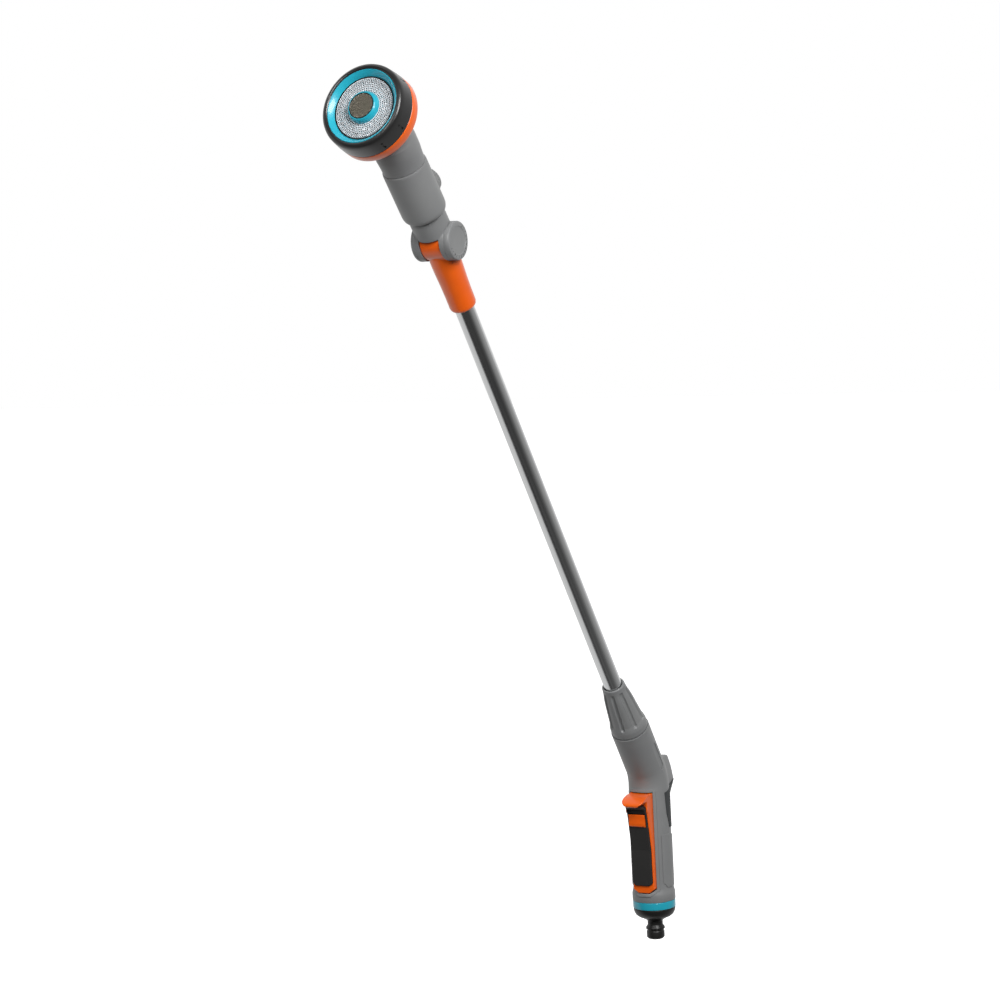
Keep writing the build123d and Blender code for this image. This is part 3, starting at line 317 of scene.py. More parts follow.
piece = turnPiece("inletRing", [(18.05, 29.1), (19.8, 29.1), (20.2, 29.5), (20.2, 35.9), (19.8, 36.3),
                                (18.05, 36.3)])
softEdges(piece, 0.3)
finishPiece(piece, gripPlace, "handle", turquoiseAbs, ["inlet_ring"])
print("hose inlet made")

# handle housing: one skin swept from heel to neck, with the hump pulled out of its back
housing = {"sides": 160, "grip": 19.2, "heel": 20.4, "neck": 18.25, "wall": 2.4, "neckEnd": 60.4,
           "humpBack": [(130.5, 17.0), (145.4, 30.3), (146.6, 31.0), (148.4, 31.7), (160.6, 27.0),
                        (170.6, 21.2), (171.8, 19.6), (173.0, 12.0), (173.3, -20.0)],
           "humpFlat": 10.4, "humpSide": 14.8}


def ringStep(move=None, turnBy=0.0, about=None, grow=1.0, centre=None):
    bpy.ops.mesh.extrude_region_move(TRANSFORM_OT_translate={"value": move or (0, 0, 0)})
    if turnBy:
        # with no window the operator turns the other way
        bpy.ops.transform.rotate(value=-turnBy, orient_axis="X", center_override=about)
    if abs(grow - 1.0) > 1e-6:
        bpy.ops.transform.resize(value=(grow, grow, grow), center_override=centre)


def sweepSkin(name):
    tangent = layout["bendRadius"] * sin(radians(layout["bend"] / 2)) / cos(radians(layout["bend"] / 2))
    bendStart = layout["elbow"] - tangent
    bendCentre = Vector((0, -layout["bendRadius"], bendStart))
    takeUp()
    bpy.ops.mesh.primitive_circle_add(vertices=housing["sides"], radius=housing["heel"] - 0.6,
                                      location=(0, 0, 36.4))
    piece = nameIt(name)
    applyPlace(piece)
    editAll(piece)
    heights = [(36.5, housing["heel"] - 0.25), (37.0, housing["heel"]), (43.0, housing["heel"]),
               (44.0, housing["heel"] - 0.1),
               (46.0, housing["heel"] - 0.6), (48.2, housing["grip"] + 0.1), (49.4, housing["grip"])]
    # long rings up the plain grip, then short ones where the hump and the bend begin
    heights += [(49.4 + 3.6 * n, housing["grip"]) for n in range(1, 22)]
    while heights[-1][0] < bendStart - 1.3:
        heights.append((heights[-1][0] + 1.1, housing["grip"]))
    heights.append((bendStart, housing["grip"]))
    lastHeight, lastRadius = 36.4, housing["heel"] - 0.6
    for height, radius in heights:
        ringStep(move=(0, 0, height - lastHeight), grow=radius / lastRadius, centre=(0, 0, height))
        lastHeight, lastRadius = height, radius
    steps = 28
    for n in range(1, steps + 1):
        angle = radians(layout["bend"]) * n / steps
        centre = bendCentre + Vector((0, layout["bendRadius"] * cos(angle),
                                      layout["bendRadius"] * sin(angle)))
        radius = housing["grip"] + (housing["neck"] - housing["grip"]) * n / steps
        ringStep(turnBy=radians(layout["bend"]) / steps, about=bendCentre, grow=radius / lastRadius,
                 centre=centre)
        lastRadius = radius
    along = tubePlace.to_3x3() @ Vector((0, 0, 1))
    travelled = tangent
    while travelled < housing["neckEnd"] - 0.01:
        step = min(1.2, housing["neckEnd"] - travelled)
        ringStep(move=along * step)
        travelled += step
    bpy.ops.mesh.select_all(action="SELECT")
    bpy.ops.mesh.normals_make_consistent(inside=False)
    bpy.ops.object.mode_set(mode="OBJECT")
    return piece


def between(points, value):
    if value <= points[0][0]:
        return points[0][1]
    for (start, low), (end, high) in zip(points, points[1:]):
        if value <= end:
            return low + (high - low) * (value - start) / (end - start)
    return points[-1][1]


def pullHump(piece):
    # the palm stop: the back of the skin is pulled out to the hump's ridge line
    for vertex in piece.data.vertices:
        x, y, z = vertex.co
        if y < -16 or z < 128 or z > 182 or abs(x) > housing["humpSide"] + 2:
            continue
        ridge = between(housing["humpBack"], z)
        fade = housing["humpSide"] - housing["humpFlat"]
        side = min(1.0, max(0.0, (abs(x) - housing["humpFlat"]) / fade))
        share = 0.5 * (1 + cos(pi * side))
        if ridge > y and y > -10:
            vertex.co.y = y + (ridge - y) * share


skin = sweepSkin("gripSkin")
pullHump(skin)

opening = {"half": 11.65, "bottom": 45.5, "chin": 4.2, "top": 142.2, "deep": 30.0}
openingShape = [(-opening["half"], 0, opening["top"]), (-opening["half"], 0,
                                                        opening["bottom"] + opening["chin"]),
                                                        (-opening["half"] / 2, 0, opening["bottom"]),
                (opening["half"] / 2, 0, opening["bottom"]), (opening["half"], 0,
                                                              opening["bottom"] + opening["chin"]),
                                                              (opening["half"], 0, opening["top"])]
lipEdge = {"half": 13.9, "top": 145.0, "bottom": 42.6, "corner": 4.5, "chin": 5.6, "foot": 6.6, "proud": 0.8}
corner = [(lipEdge["half"] - lipEdge["corner"] + lipEdge["corner"] * sin(radians(angle)), 0,
           lipEdge["top"] - lipEdge["corner"] + lipEdge["corner"] * cos(radians(angle)))
          for angle in (90, 72, 54, 36, 18, 0)]
chin = [(-lipEdge["half"], 0, lipEdge["bottom"] + lipEdge["chin"]), (-lipEdge["foot"], 0, lipEdge["bottom"]),
        (lipEdge["foot"], 0, lipEdge["bottom"]), (lipEdge["half"], 0, lipEdge["bottom"] + lipEdge["chin"])]
lipShape = corner + [(-x, y, z) for x, y, z in reversed(corner)] + chin

lip = copyPiece(skin, "openingLip")
modify(lip, "SOLIDIFY", thickness=1.6, offset=-1.0)
editAll(lip)
bpy.ops.transform.shrink_fatten(value=lipEdge["proud"])
bpy.ops.object.mode_set(mode="OBJECT")
combine(lip, prism("lipCutter", lipShape, (0, -opening["deep"], 0)), "INTERSECT")
combine(lip, prism("openingCutter", openingShape, (0, -opening["deep"], 0)))
softEdges(lip, 0.6, 4, 50)

panel = copyPiece(skin, "rearPanel")
for point, normal in (((0, -10.8, 80), (0, -1, 0)), ((0, -10.8, 55.0), (0, -0.735, -0.678)),
                      ((0, 0, 49.8), (0, 0, -1)),
                      ((0, 0.3, 101.5), (0, 0.411, 0.912)), ((0, 12, 100.5), (0, 0.0, 1))):
    keepSide(panel, point, normal)
modify(panel, "SOLIDIFY", thickness=1.4, offset=0.0)
softEdges(panel, 0.3, 3, 50)

inlay = copyPiece(skin, "palmInlay")
for point, normal in (((0, -4.1, 130), (0, -0.996, -0.083)), ((0, -1.1, 113.3), (0, -0.949, -0.317)),
                      ((0, 1.2, 106.2), (0, -0.1, -0.995)), ((0, -5.0, 140.2), (0, -0.19, 0.982))):
    keepSide(inlay, point, normal)
modify(inlay, "SOLIDIFY", thickness=1.2, offset=0.1)
softEdges(inlay, 0.25, 2, 50)

shell = copyPiece(skin, "gripHousing")
modify(shell, "SOLIDIFY", thickness=housing["wall"], offset=-1.0)
combine(shell, prism("openingCutter", openingShape, (0, -opening["deep"], 0)))
# a plain sunk panel on each side of the neck
badge = {"low": 9.0, "high": 41.0, "half": 3.6, "floor": 17.4}
for side in (-1, 1):
    arc = [(badge["half"] * cos(radians(angle)), badge["half"] * sin(radians(angle)))
           for angle in range(0, 181, 15)]
    outline = [(badge["floor"] * side, y, badge["high"] - badge["half"] + z) for y, z in arc]
    outline += [(badge["floor"] * side, -y, badge["low"] + badge["half"] - z) for y, z in arc]
    cutter = prism("badgeCutter", [tubePlace @ Vector(point) for point in outline], (5 * side, 0, 0))
    combine(shell, cutter)
shell = joinPieces("gripHousing", [shell, lip])
bpy.data.objects.remove(skin)
finishPiece(shell, gripPlace, "handle", greyPolyamide, ["handle_housing"], 40)
finishPiece(panel, gripPlace, "handle", greyPolyamide, ["rear_grip_panel"], 40)
finishPiece(inlay, gripPlace, "handle", palmTpe, ["palm_inlay"], 40)
print("handle housing made")

# squeeze lever
lever = {"padProud": 2.2, "half": 11.3, "bottom": 46.2, "chin": 4.2, "face": 21.0, "leanFrom": 88.0,
         "lean": 0.1638, "back": 11.5,
         "padHalf": 9.95, "padDeep": 2.8, "padLow": 53.6, "padHigh": 132.0, "corner": 4.0}


def faceAt(z):
    return lever["face"] + max(0.0, z - lever["leanFrom"]) * lever["lean"]


def roundedFront(name, half, low, high, corner, deep=45.0):
    # a rounded rectangle seen from the front, pushed forward
    arc = [(sin(radians(angle)), cos(radians(angle))) for angle in range(0, 91, 15)]
    points = [(half - corner + corner * sine, 0, high - corner + corner * cosine) for sine, cosine in arc]
    points += [(half - corner + corner * cosine, 0, low + corner - corner * sine) for sine, cosine in arc]
    points += [(-half + corner - corner * sine, 0, low + corner - corner * cosine) for sine, cosine in arc]
    points += [(-half + corner - corner * cosine, 0, high - corner + corner * sine) for sine, cosine in arc]
    return prism(name, points, (0, -deep, 0))


beak = [(-11.5, 141.45), (-15.5, 141.4), (-19.5, 141.2), (-23.5, 140.8), (-27.0, 140.3), (-30.0, 139.6),
        (-33.0, 138.5),
        (-35.8, 137.1), (-38.2, 135.5), (-39.6, 134.1), (-40.0, 132.7), (-39.2, 131.7), (-37.6, 131.2),
        (-35.4, 130.7),
        (-33.0, 129.8), (-30.8, 128.3), (-29.0, 126.3), (-27.7, 124.0), (-26.6, 121.0)]
sideShape = ([(-lever["half"], y, z) for y, z in beak]
             + [(-lever["half"], -lever["face"], lever["leanFrom"]),
                (-lever["half"], -lever["face"], lever["bottom"]),
                (-lever["half"], -lever["back"], lever["bottom"])])
piece = prism("leverFrame", sideShape, (2 * lever["half"], 0, 0))
frontShape = [(-lever["half"], 0, 150), (-lever["half"], 0, lever["bottom"] + lever["chin"]),
              (-lever["half"] / 2, 0, lever["bottom"]),
              (lever["half"] / 2, 0, lever["bottom"]), (lever["half"], 0, lever["bottom"] + lever["chin"]),
              (lever["half"], 0, 150)]
combine(piece, prism("leverFront", frontShape, (0, -50, 0)), "INTERSECT")
# the beak's corners are rounded from above, and its lower edge hangs lowest in the middle
beakCorner, beakFront = 6.5, -40.4
planArc = [(lever["half"] - beakCorner + beakCorner * sin(radians(angle)),
            beakFront + beakCorner - beakCorner * cos(radians(angle)), 40) for angle in range(0, 91, 15)]
planShape = planArc + [(lever["half"], 0, 40), (-lever["half"], 0, 40)] + [(-x, y, z) for x, y,
                                                                           z in reversed(planArc)]
combine(piece, prism("beakPlan", planShape, (0, 0, 110)), "INTERSECT")
visor = [(x, -28.2, 130.6 + 5.9 * (x / 12.3) ** 2) for x in (12.3, 9, 6, 3, 0, -3, -6, -9, -12.3)]
combine(piece, prism("visorCut", visor + [(-12.3, -28.2, 112), (12.3, -28.2, 112)], (0, -30, 0)))


def padSolid(name, deep, proud, half, low, high):
    points = [(-half, deep - faceAt(low), low), (-half, deep - lever["face"], lever["leanFrom"]),
              (-half, deep - faceAt(high), high),
              (-half, -proud - faceAt(high), high), (-half, -proud - lever["face"], lever["leanFrom"]),
              (-half, -proud - faceAt(low), low)]
    solid = prism(name, points, (2 * half, 0, 0))
    return combine(solid, roundedFront("padCorners", half, low, high, lever["corner"]), "INTERSECT")


# the outer edges beside the pad fall away steeply
for side in (-1, 1):
    for low, high in ((40.0, lever["leanFrom"]), (lever["leanFrom"], 126.0)):
        y = -faceAt(low)
        edge = [(10.1 * side, y - 0.5, low), (13.0 * side, y - 0.5, low), (13.0 * side, y + 7.0, low),
                (11.35 * side, y + 3.2, low), (10.9 * side, y + 1.0, low)]
        combine(piece, prism("edgeFall", edge, (0, faceAt(low) - faceAt(high), high - low)))
combine(piece, padSolid("pocket", lever["padDeep"], 9.0, lever["padHalf"], lever["padLow"], lever["padHigh"]))
mouldedSkin(piece, 0.4, 6)
finishPiece(piece, gripPlace, "trigger", orangeAbs, ["trigger_frame"], 60)

pad = padSolid("fingerPad", lever["padDeep"] - 0.1, lever["padProud"], lever["padHalf"] - 0.1,
               lever["padLow"] + 0.15,
               lever["padHigh"] - 0.15)
# its top end swells forward under the beak
swell = [(1.0, 126.0), (-2.3, 122.0), (-2.6, 125.0), (-3.3, 127.6), (-4.6, 129.4), (-6.4, 130.8),
         (-8.2, 131.7),
         (1.0, 131.7)]
block = prism("padSwell", [(-lever["padHalf"] + 0.1, depth - faceAt(z), z) for depth, z in swell],
              (2 * lever["padHalf"] - 0.2, 0, 0))
combine(block, roundedFront("swellCorners", lever["padHalf"] - 0.1, lever["padLow"],
                            lever["padHigh"] - 0.15, lever["corner"]),
        "INTERSECT")
combine(pad, block, "UNION")
softEdges(pad, 0.9, 3, 50)
lock = {"low": 111.0, "high": 122.8, "travel": 5.0, "gap": 0.35, "half": 8.35, "step": 117.2, "channel": 0.5}


def windowCut(name, depth, low, high):
    half = lock["half"] + lock["gap"]
    return prism(name, [(-half, depth - faceAt(low), low), (-half, depth - faceAt(high), high),
                        (-half, -45, high),
                        (-half, -45, low)], (2 * half, 0, 0))


# a deep seat for the lock's lower part, and a shallow track above for its travel
combine(pad, windowCut("lockSeat", 1.7, lock["low"] - lock["gap"],
                       lock["step"] + lock["travel"] + 2 * lock["gap"]))
combine(pad, windowCut("lockTrack", -lock["channel"], lock["low"],
                       lock["high"] + lock["travel"] + lock["gap"]))
mouldedSkin(pad, 0.4, 5)
finishPiece(pad, gripPlace, "trigger", softGripTpe, ["trigger_pad"], 60)

# the lock is a wedge: its lower edge stands out most and a shallow hollow above takes the thumb
profile = [(1.35, lock["low"]), (-3.0, lock["low"]), (-3.7, lock["low"] + 0.5), (-3.9, lock["low"] + 1.6),
           (-3.6, lock["low"] + 3.6), (-3.1, lock["low"] + 5.6), (-2.8, lock["low"] + 7.6),
           (-2.7, lock["low"] + 9.4),
           (-2.7, lock["high"] - 0.6), (-2.2, lock["high"]), (-lock["channel"] - lock["gap"], lock["high"]),
           (-lock["channel"] - lock["gap"], lock["step"]), (1.35, lock["step"])]
lockShape = [(-lock["half"], depth - faceAt(z), z) for depth, z in profile]
slide = prism("lockSlide", lockShape, (2 * lock["half"], 0, 0))
softEdges(slide, 0.5, 4, 35)
finishPiece(slide, gripPlace, "lock", orangeAbs, ["lock_button"], 50)
print("lever made")

# fluted nut
nut = {"flutes": 8, "flute": 2.1, "turned": 9, "lowEnd": (16.6, 72.4), "highEnd": (11.8, 110.5)}
outline = [(14.4, 60.8), (16.9, 60.8), (17.45, 61.6), (17.5, 62.6), (17.5, 67.0), (16.9, 70.0),
           (16.0, 73.0), (14.9, 83.0),
           (14.0, 92.0), (12.8, 101.5), (11.0, 111.5), (10.8, 114.6), (10.3, 115.5), (9.2, 115.5),
           (8.9, 115.1),
           (8.9, 76.45), (10.1, 74.65), (13.35, 68.35), (13.35, 66.35), (14.4, 66.35)]
piece = turnPiece("flutedNut", outline)
# the lands are faceted, each with an arris down its middle
facets = turnPiece("nutFacets", [(0, 55), (22, 55), (22, 69.4), (16.2, 73.0), (15.0, 83.0), (14.1, 92.0),
                                 (12.9, 101.5),
                                 (11.3, 109.6), (14.0, 113.0), (14.0, 120.0), (0, 120)], 16)
facets.matrix_world = Matrix.Rotation(radians(nut["turned"]), 4, "Z")
applyPlace(facets)
combine(piece, facets, "INTERSECT")
fluteLow = Vector((nut["lowEnd"][0], 0, nut["lowEnd"][1]))
fluteHigh = Vector((nut["highEnd"][0], 0, nut["highEnd"][1]))
axis = fluteHigh - fluteLow
cutters = []
for n in range(nut["flutes"]):
    turned = Matrix.Rotation(2 * pi * n / nut["flutes"] + radians(nut["turned"]), 4, "Z")
    slant = turned @ Matrix.Translation(fluteLow) @ axis.to_track_quat("Z", "Y").to_matrix().to_4x4()
    rod = bar("flute", nut["flute"], 0, axis.length, slant, 24)
    takeUp()
    bpy.ops.mesh.primitive_uv_sphere_add(segments=24, ring_count=12, radius=nut["flute"],
                                         location=turned @ fluteLow)
    ball = nameIt("fluteEnd")
    applyPlace(ball)
    combine(rod, ball, "UNION")
    cutters.append(rod)
combine(piece, joinPieces("flutes", cutters))
mouldedSkin(piece, 0.38, 3)
finishPiece(piece, tubePlace, "collar", greyPolyamide, ["collar_nut"], 60)
print("nut made")

# orange neck of the tilt joint
neck = {"low": 549.0, "high": 606.0, "tube": 8.55, "shoulder": 12.9, "knuckle": 15.4, "half": 9.15,
        "saddle": 16.65, "bore": 6.06}
piece = turnPiece("jointNeck", [
    (neck["tube"], neck["low"]), (10.0, neck["low"]), (10.9, 549.6), (11.5, 550.8), (11.7, 552.4),
    (11.75, 564.0),
    (12.1, 576.0), (12.7, 588.0), (neck["shoulder"], 596.0), (neck["shoulder"], neck["high"]),
    (neck["tube"], neck["high"])], 128)
combine(piece, bar("saddleRight", neck["saddle"], neck["half"], 22, barrelInTube))
combine(piece, bar("saddleLeft", neck["saddle"], -22, -neck["half"], barrelInTube))
combine(piece, bar("knuckle", neck["knuckle"], -neck["half"], neck["half"], barrelInTube), "UNION")
combine(piece, bar("bore", neck["bore"], -12, 12, barrelInTube))
mouldedSkin(piece, 0.4, 5)
finishPiece(piece, tubePlace, "handle", orangeAbs, ["joint_neck"], 60)

# grey fork and its end caps
fork = {"cheek": 16.3, "inner": 9.5, "outer": 14.1, "base": 15.85, "web": 11.1, "plug": 13.8, "collar": 16.7,
        "step": 30.0, "pivot": 6.05}
piece = turnPiece("forkBody", [(0, fork["web"]), (fork["base"], fork["web"]), (fork["base"], fork["step"]),
                               (fork["collar"], fork["step"]), (fork["collar"], 34.7), (fork["plug"], 34.7),
                               (fork["plug"], 29.0), (0, 29.0)], 128)
combine(piece, bar("cheekRight", fork["cheek"], fork["inner"], fork["outer"], barrelInJoint), "UNION")
combine(piece, bar("cheekLeft", fork["cheek"], -fork["outer"], -fork["inner"], barrelInJoint), "UNION")
combine(piece, bar("sideRight", fork["cheek"] + 0.1, fork["outer"], 21, barrelInJoint))
combine(piece, bar("sideLeft", fork["cheek"] + 0.1, -21, -fork["outer"], barrelInJoint))
combine(piece, bar("window", neck["knuckle"] + 0.35, -fork["inner"], fork["inner"], barrelInJoint))
combine(piece, bar("pivot", fork["pivot"], -16, 16, barrelInJoint))
mouldedSkin(piece, 0.4, 4)
finishPiece(piece, jointPlace, "head", greyPolyamide, ["tilt_fork"], 60)

# end caps, each with a ring of plain ticks sunk round its face
cap = {"dish": 0.4, "ticks": 15, "tickRing": 13.6, "tickFirst": 26, "tickStep": 15,
       "tickSize": (1.9, 0.9, 1.2)}
for side, reach, nodeName, title in ((1, 19.6, "tilt_cap_right", "tiltCapRight"),
                                     (-1, 17.4, "tilt_cap_left", "tiltCapLeft")):
    piece = turnPiece(title, [(0, fork["outer"]), (fork["cheek"], fork["outer"]),
                              (fork["cheek"], reach - 1.2),
                              (15.9, reach - 0.4), (15.1, reach), (11.9, reach), (11.5, reach - cap["dish"]),
                              (0, reach - cap["dish"])], 128)
    ticks = []
    for n in range(cap["ticks"]):
        angle = radians(cap["tickFirst"] - layout["headTilt"] - cap["tickStep"] * n)
        takeUp()
        bpy.ops.mesh.primitive_cube_add(size=1, rotation=(0, 0, angle), scale=cap["tickSize"],
                                        location=(cap["tickRing"] * cos(angle),
                                                  cap["tickRing"] * sin(angle), reach))
        tick = nameIt("tick")
        applyPlace(tick)
        ticks.append(tick)
    combine(piece, joinPieces("ticks", ticks))
    softEdges(piece, 0.12, 2, 40)
    mirrored = barrelPlace @ (Matrix.Identity(4) if side > 0 else Matrix.Rotation(pi, 4, "Y"))
    finishPiece(piece, mirrored, "head", greyPolyamide, [nodeName], 35)
print("tilt joint made")

# head sleeve with a flat boss that the knob turns on
sleeve = {"inside": 16.8, "low": 30.05, "high": 80.0, "boss": 14.2, "bossTop": 16.2, "spindle": 4.85}
piece = turnPiece("headSleeve", [
    (sleeve["inside"], sleeve["low"]), (17.1, sleeve["low"]), (17.8, 30.6), (18.5, 31.8), (19.0, 33.6),
    (19.2, 36.0),
    (19.25, 52.0), (19.3, 77.4), (19.15, 78.8), (18.8, 79.7), (18.2, sleeve["high"]),
    (sleeve["inside"], sleeve["high"])], 160)
combine(piece, bar("knobBoss", sleeve["boss"], 12.5, sleeve["bossTop"], knobInJoint, 128), "UNION")
combine(piece, bar("knobRecess", sleeve["boss"], sleeve["bossTop"], 26, knobInJoint, 128))
combine(piece, bar("spindleHole", sleeve["spindle"], 8, 18, knobInJoint))
finishPiece(piece, jointPlace, "head", greyPolyamide, ["head_sleeve"], 30)

# flow knob: a disc with a grooved edge and a raised rib across its face
knob = {"steps": 120, "groovePitch": 3, "radius": 13.5, "back": 16.55, "edge": (16.9, 20.2), "face": 21.4,
        "screw": 1.65, "hub": 4.55}
piece = turnPiece("flowKnob", [
    (knob["screw"], 19.85), (knob["hub"], 19.85), (knob["hub"], knob["back"]), (13.1, knob["back"]),
    (knob["radius"], knob["edge"][0]), (knob["radius"], knob["edge"][1]), (12.9, 21.1), (12.1, knob["face"]),
    (3.3, knob["face"]), (3.2, 20.5), (knob["screw"], 20.5)], knob["steps"])
editAll(piece, "FACE")
bpy.ops.mesh.select_all(action="DESELECT")
bpy.ops.object.mode_set(mode="OBJECT")
for face in piece.data.polygons:
    centre = face.center
    onEdge = abs(sqrt(centre.x ** 2 + centre.y ** 2) - knob["radius"]) < 0.05
    onEdge = onEdge and knob["edge"][0] < centre.z < knob["edge"][1]
    place = int(round(atan2(centre.y, centre.x) / (2 * pi) * knob["steps"] - 0.5))
    face.select = onEdge and place % knob["groovePitch"] == 0
bpy.ops.object.mode_set(mode="EDIT")
bpy.ops.mesh.inset(thickness=0.12, depth=-0.45, use_individual=True)
bpy.ops.object.mode_set(mode="OBJECT")
rib = prism("knobRib", [(-1.5, -11, 21.3), (1.5, -11, 21.3), (1.0, -10.6, 22.8), (-1.0, -10.6, 22.8)],
            (0, 22, 0))
combine(rib, bar("screwSpace", 3.6, 20, 24))
softEdges(rib, 0.3, 2, 40)
piece = joinPieces("flowKnob", [piece, rib])
finishPiece(piece, knobPlace, "flow_control", greyPolyamide, ["flow_knob"], 30)
print("head sleeve made")

# spray face
piece = turnPiece("ringOrange", [(30.05, -28.35), (31.6, -28.35), (35.6, -27.6), (37.0, -26.6), (37.5, -25.4),
                                 (37.5, -18.3), (37.0, -17.75), (30.05, -17.75)], 160)
softEdges(piece, 0.25, 2, 25)
finishPiece(piece, facePlace, "head", orangeAbs, ["orange_ring"])

# each mark on the rim is a long dash with a short one in front of it
rim = {"marks": (40, -26, -57), "markRing": 37.3, "markDeep": 1.6, "dashes": ((-12.6, 4.4), (-8.2, 1.6)),
       "dashWide": 1.6}
piece = turnPiece("selectorRim", [
    (30.35, -17.4), (37.1, -17.4), (37.5, -17.0), (37.4, -13.0), (36.9, -6.0), (36.6, -3.0), (36.1, -1.6),
    (35.2, -0.6),
    (33.9, 0.0), (32.9, -0.1), (32.2, -0.5), (31.75, -1.1), (31.75, -9.6), (30.35, -9.6)], 160)
marks = []
for angle in rim["marks"]:
    across, along = cos(radians(angle)), sin(radians(angle))
    for height, tall in rim["dashes"]:
        takeUp()
        bpy.ops.mesh.primitive_cube_add(size=1, scale=(rim["markDeep"], rim["dashWide"], tall),
                                        rotation=(0, 0, radians(angle)),
                                        location=(rim["markRing"] * across, rim["markRing"] * along, height))
        mark = nameIt("mark")
        applyPlace(mark)
        marks.append(mark)
combine(piece, joinPieces("marks", marks))
finishPiece(piece, facePlace, "spray_face", blackGlossAbs, ["selector_ring"], 30)

piece = turnPiece("faceWall", [(31.2, -0.7), (31.7, -1.1), (31.7, -9.6), (24.0, -9.6), (24.0, -7.7),
                               (26.9, -7.7),
                               (26.9, -5.9), (27.2, -5.3)], 160)
softEdges(piece, 0.2, 2, 25)
finishPiece(piece, facePlace, "spray_face", turquoiseAbs, ["face_bezel"])

# the plate: each ring of cells has its own count, and every cell is pierced
plate = {"inner": 14.0, "outer": 25.7, "front": -5.3, "hole": 0.5, "pitch": 1.75,
         "rings": (15.1, 16.8, 18.5, 20.2, 21.8, 23.3, 24.7)}
bands = []
middles = [(inner + outer) / 2 for inner, outer in zip(plate["rings"], plate["rings"][1:])]
edges = [plate["inner"]] + middles + [plate["outer"]]
for radius, low, high in zip(plate["rings"], edges, edges[1:]):
    count = int(2 * pi * radius / plate["pitch"])
    takeUp()
    bpy.ops.mesh.primitive_circle_add(vertices=count, radius=low, location=(0, 0, plate["front"]))
    band = nameIt("plateBand")
    applyPlace(band)
    editAll(band)
    bpy.ops.mesh.extrude_region_move()
    bpy.ops.transform.resize(value=(high / low, high / low, 1), center_override=(0, 0, plate["front"]))
    bpy.ops.mesh.select_mode(type="FACE")
    bpy.ops.mesh.select_all(action="SELECT")
    bpy.ops.mesh.normals_make_consistent(inside=False)
    bpy.ops.mesh.inset(thickness=min(high - low, plate["pitch"]) / 2 - plate["hole"], use_individual=True)
    bpy.ops.mesh.bevel(offset=plate["hole"] * 0.58, affect="VERTICES")
    bpy.ops.object.mode_set(mode="OBJECT")
    # the floor of every hole gets the black rubber material: painted shade, so the holes read dark
    for face in band.data.polygons:
        face.select = len(face.vertices) == 8
    band.data.materials.append(whiteAcetal)
    band.data.materials.append(nitrileRubber)
    bpy.ops.object.mode_set(mode="EDIT")
    band.active_material_index = 1
    bpy.ops.mesh.extrude_region_move(TRANSFORM_OT_translate={"value": (0, 0, -0.5)})
    bpy.ops.object.material_slot_assign()
    bpy.ops.object.mode_set(mode="OBJECT")
    bands.append(band)
backing = turnPiece("plateBacking", [(14.0, -7.7), (25.7, -7.7), (25.7, -5.32), (25.3, -5.32),
                                     (25.3, -5.95), (14.5, -5.95),
                                     (14.5, -5.32), (14.0, -5.32)], 160)
backing.data.materials.append(whiteAcetal)
backing.data.materials.append(nitrileRubber)
# a black ring fills the gap between the plate and the wall round it: painted shade standing in for the shadow
# in that groove
gapShade = turnPiece("plateGapShade", [(25.72, -7.65), (26.88, -7.65), (26.88, -5.1), (26.5, -5.1), (26.5, -6.9),
                               (25.72, -6.9)], 160)
gapShade.data.materials.append(nitrileRubber)
piece = joinPieces("sprayPlate", bands + [backing, gapShade])
finishPiece(piece, facePlace, "spray_face", whiteAcetal, ["spray_plate"], 30)

piece = turnPiece("centreCone", [
    (4.06, -9.6), (23.9, -9.6), (23.9, -7.75), (13.9, -7.75), (13.9, -5.3), (13.6, -3.6), (12.9, -1.9),
    (12.3, -1.0),
    (11.9, -0.6), (11.25, -0.6), (11.25, -7.8), (4.06, -7.8)], 128)
finishPiece(piece, facePlace, "spray_face", turquoiseAbs, ["centre_cone"], 30)
piece = turnPiece("meshRing", [(9.6, -7.8), (11.2, -7.8), (11.2, -0.5), (11.0, -0.2), (10.6, -0.2),
                               (10.4, -0.4),
                               (10.4, -1.2), (9.6, -1.2)], 128)
finishPiece(piece, facePlace, "spray_face", blackPolyamide, ["mesh_ring"], 30)

# woven wire: each wire is a small hexagon bar that goes over and under its neighbours
weave = {"radius": 10.35, "pitch": 0.95, "wire": 0.2, "front": -0.62}
wires = []
count = int(weave["radius"] / weave["pitch"])
for direction in (0, 1):
    for n in range(-count, count + 1):
        across = n * weave["pitch"]
        reach = int(sqrt(weave["radius"] ** 2 - across ** 2) / weave["pitch"])
        if reach < 2:
            continue
        takeUp()
        bpy.ops.mesh.primitive_circle_add(vertices=6, radius=weave["wire"], rotation=(0, radians(90), 0),
                                          location=(-reach * weave["pitch"], across, weave["front"]))
        wire = nameIt("wire")
        applyPlace(wire)
        editAll(wire)
        lift = weave["wire"] if (n - reach + direction) % 2 else -weave["wire"]
        bpy.ops.transform.translate(value=(0, 0, lift))
        for step in range(2 * reach):
            bpy.ops.mesh.extrude_region_move(TRANSFORM_OT_translate={"value": (weave["pitch"], 0, -2 * lift)})
            lift = -lift
        bpy.ops.object.mode_set(mode="OBJECT")
        if direction:
            wire.matrix_world = Matrix.Rotation(radians(90), 4, "Z")
        applyPlace(wire)
        wires.append(wire)
piece = joinPieces("wovenScreen", wires)
piece.matrix_world = Matrix.Rotation(radians(24), 4, "Z")
applyPlace(piece)
finishPiece(piece, facePlace, "spray_face", wovenSteel, (), 80)
print("spray face made")

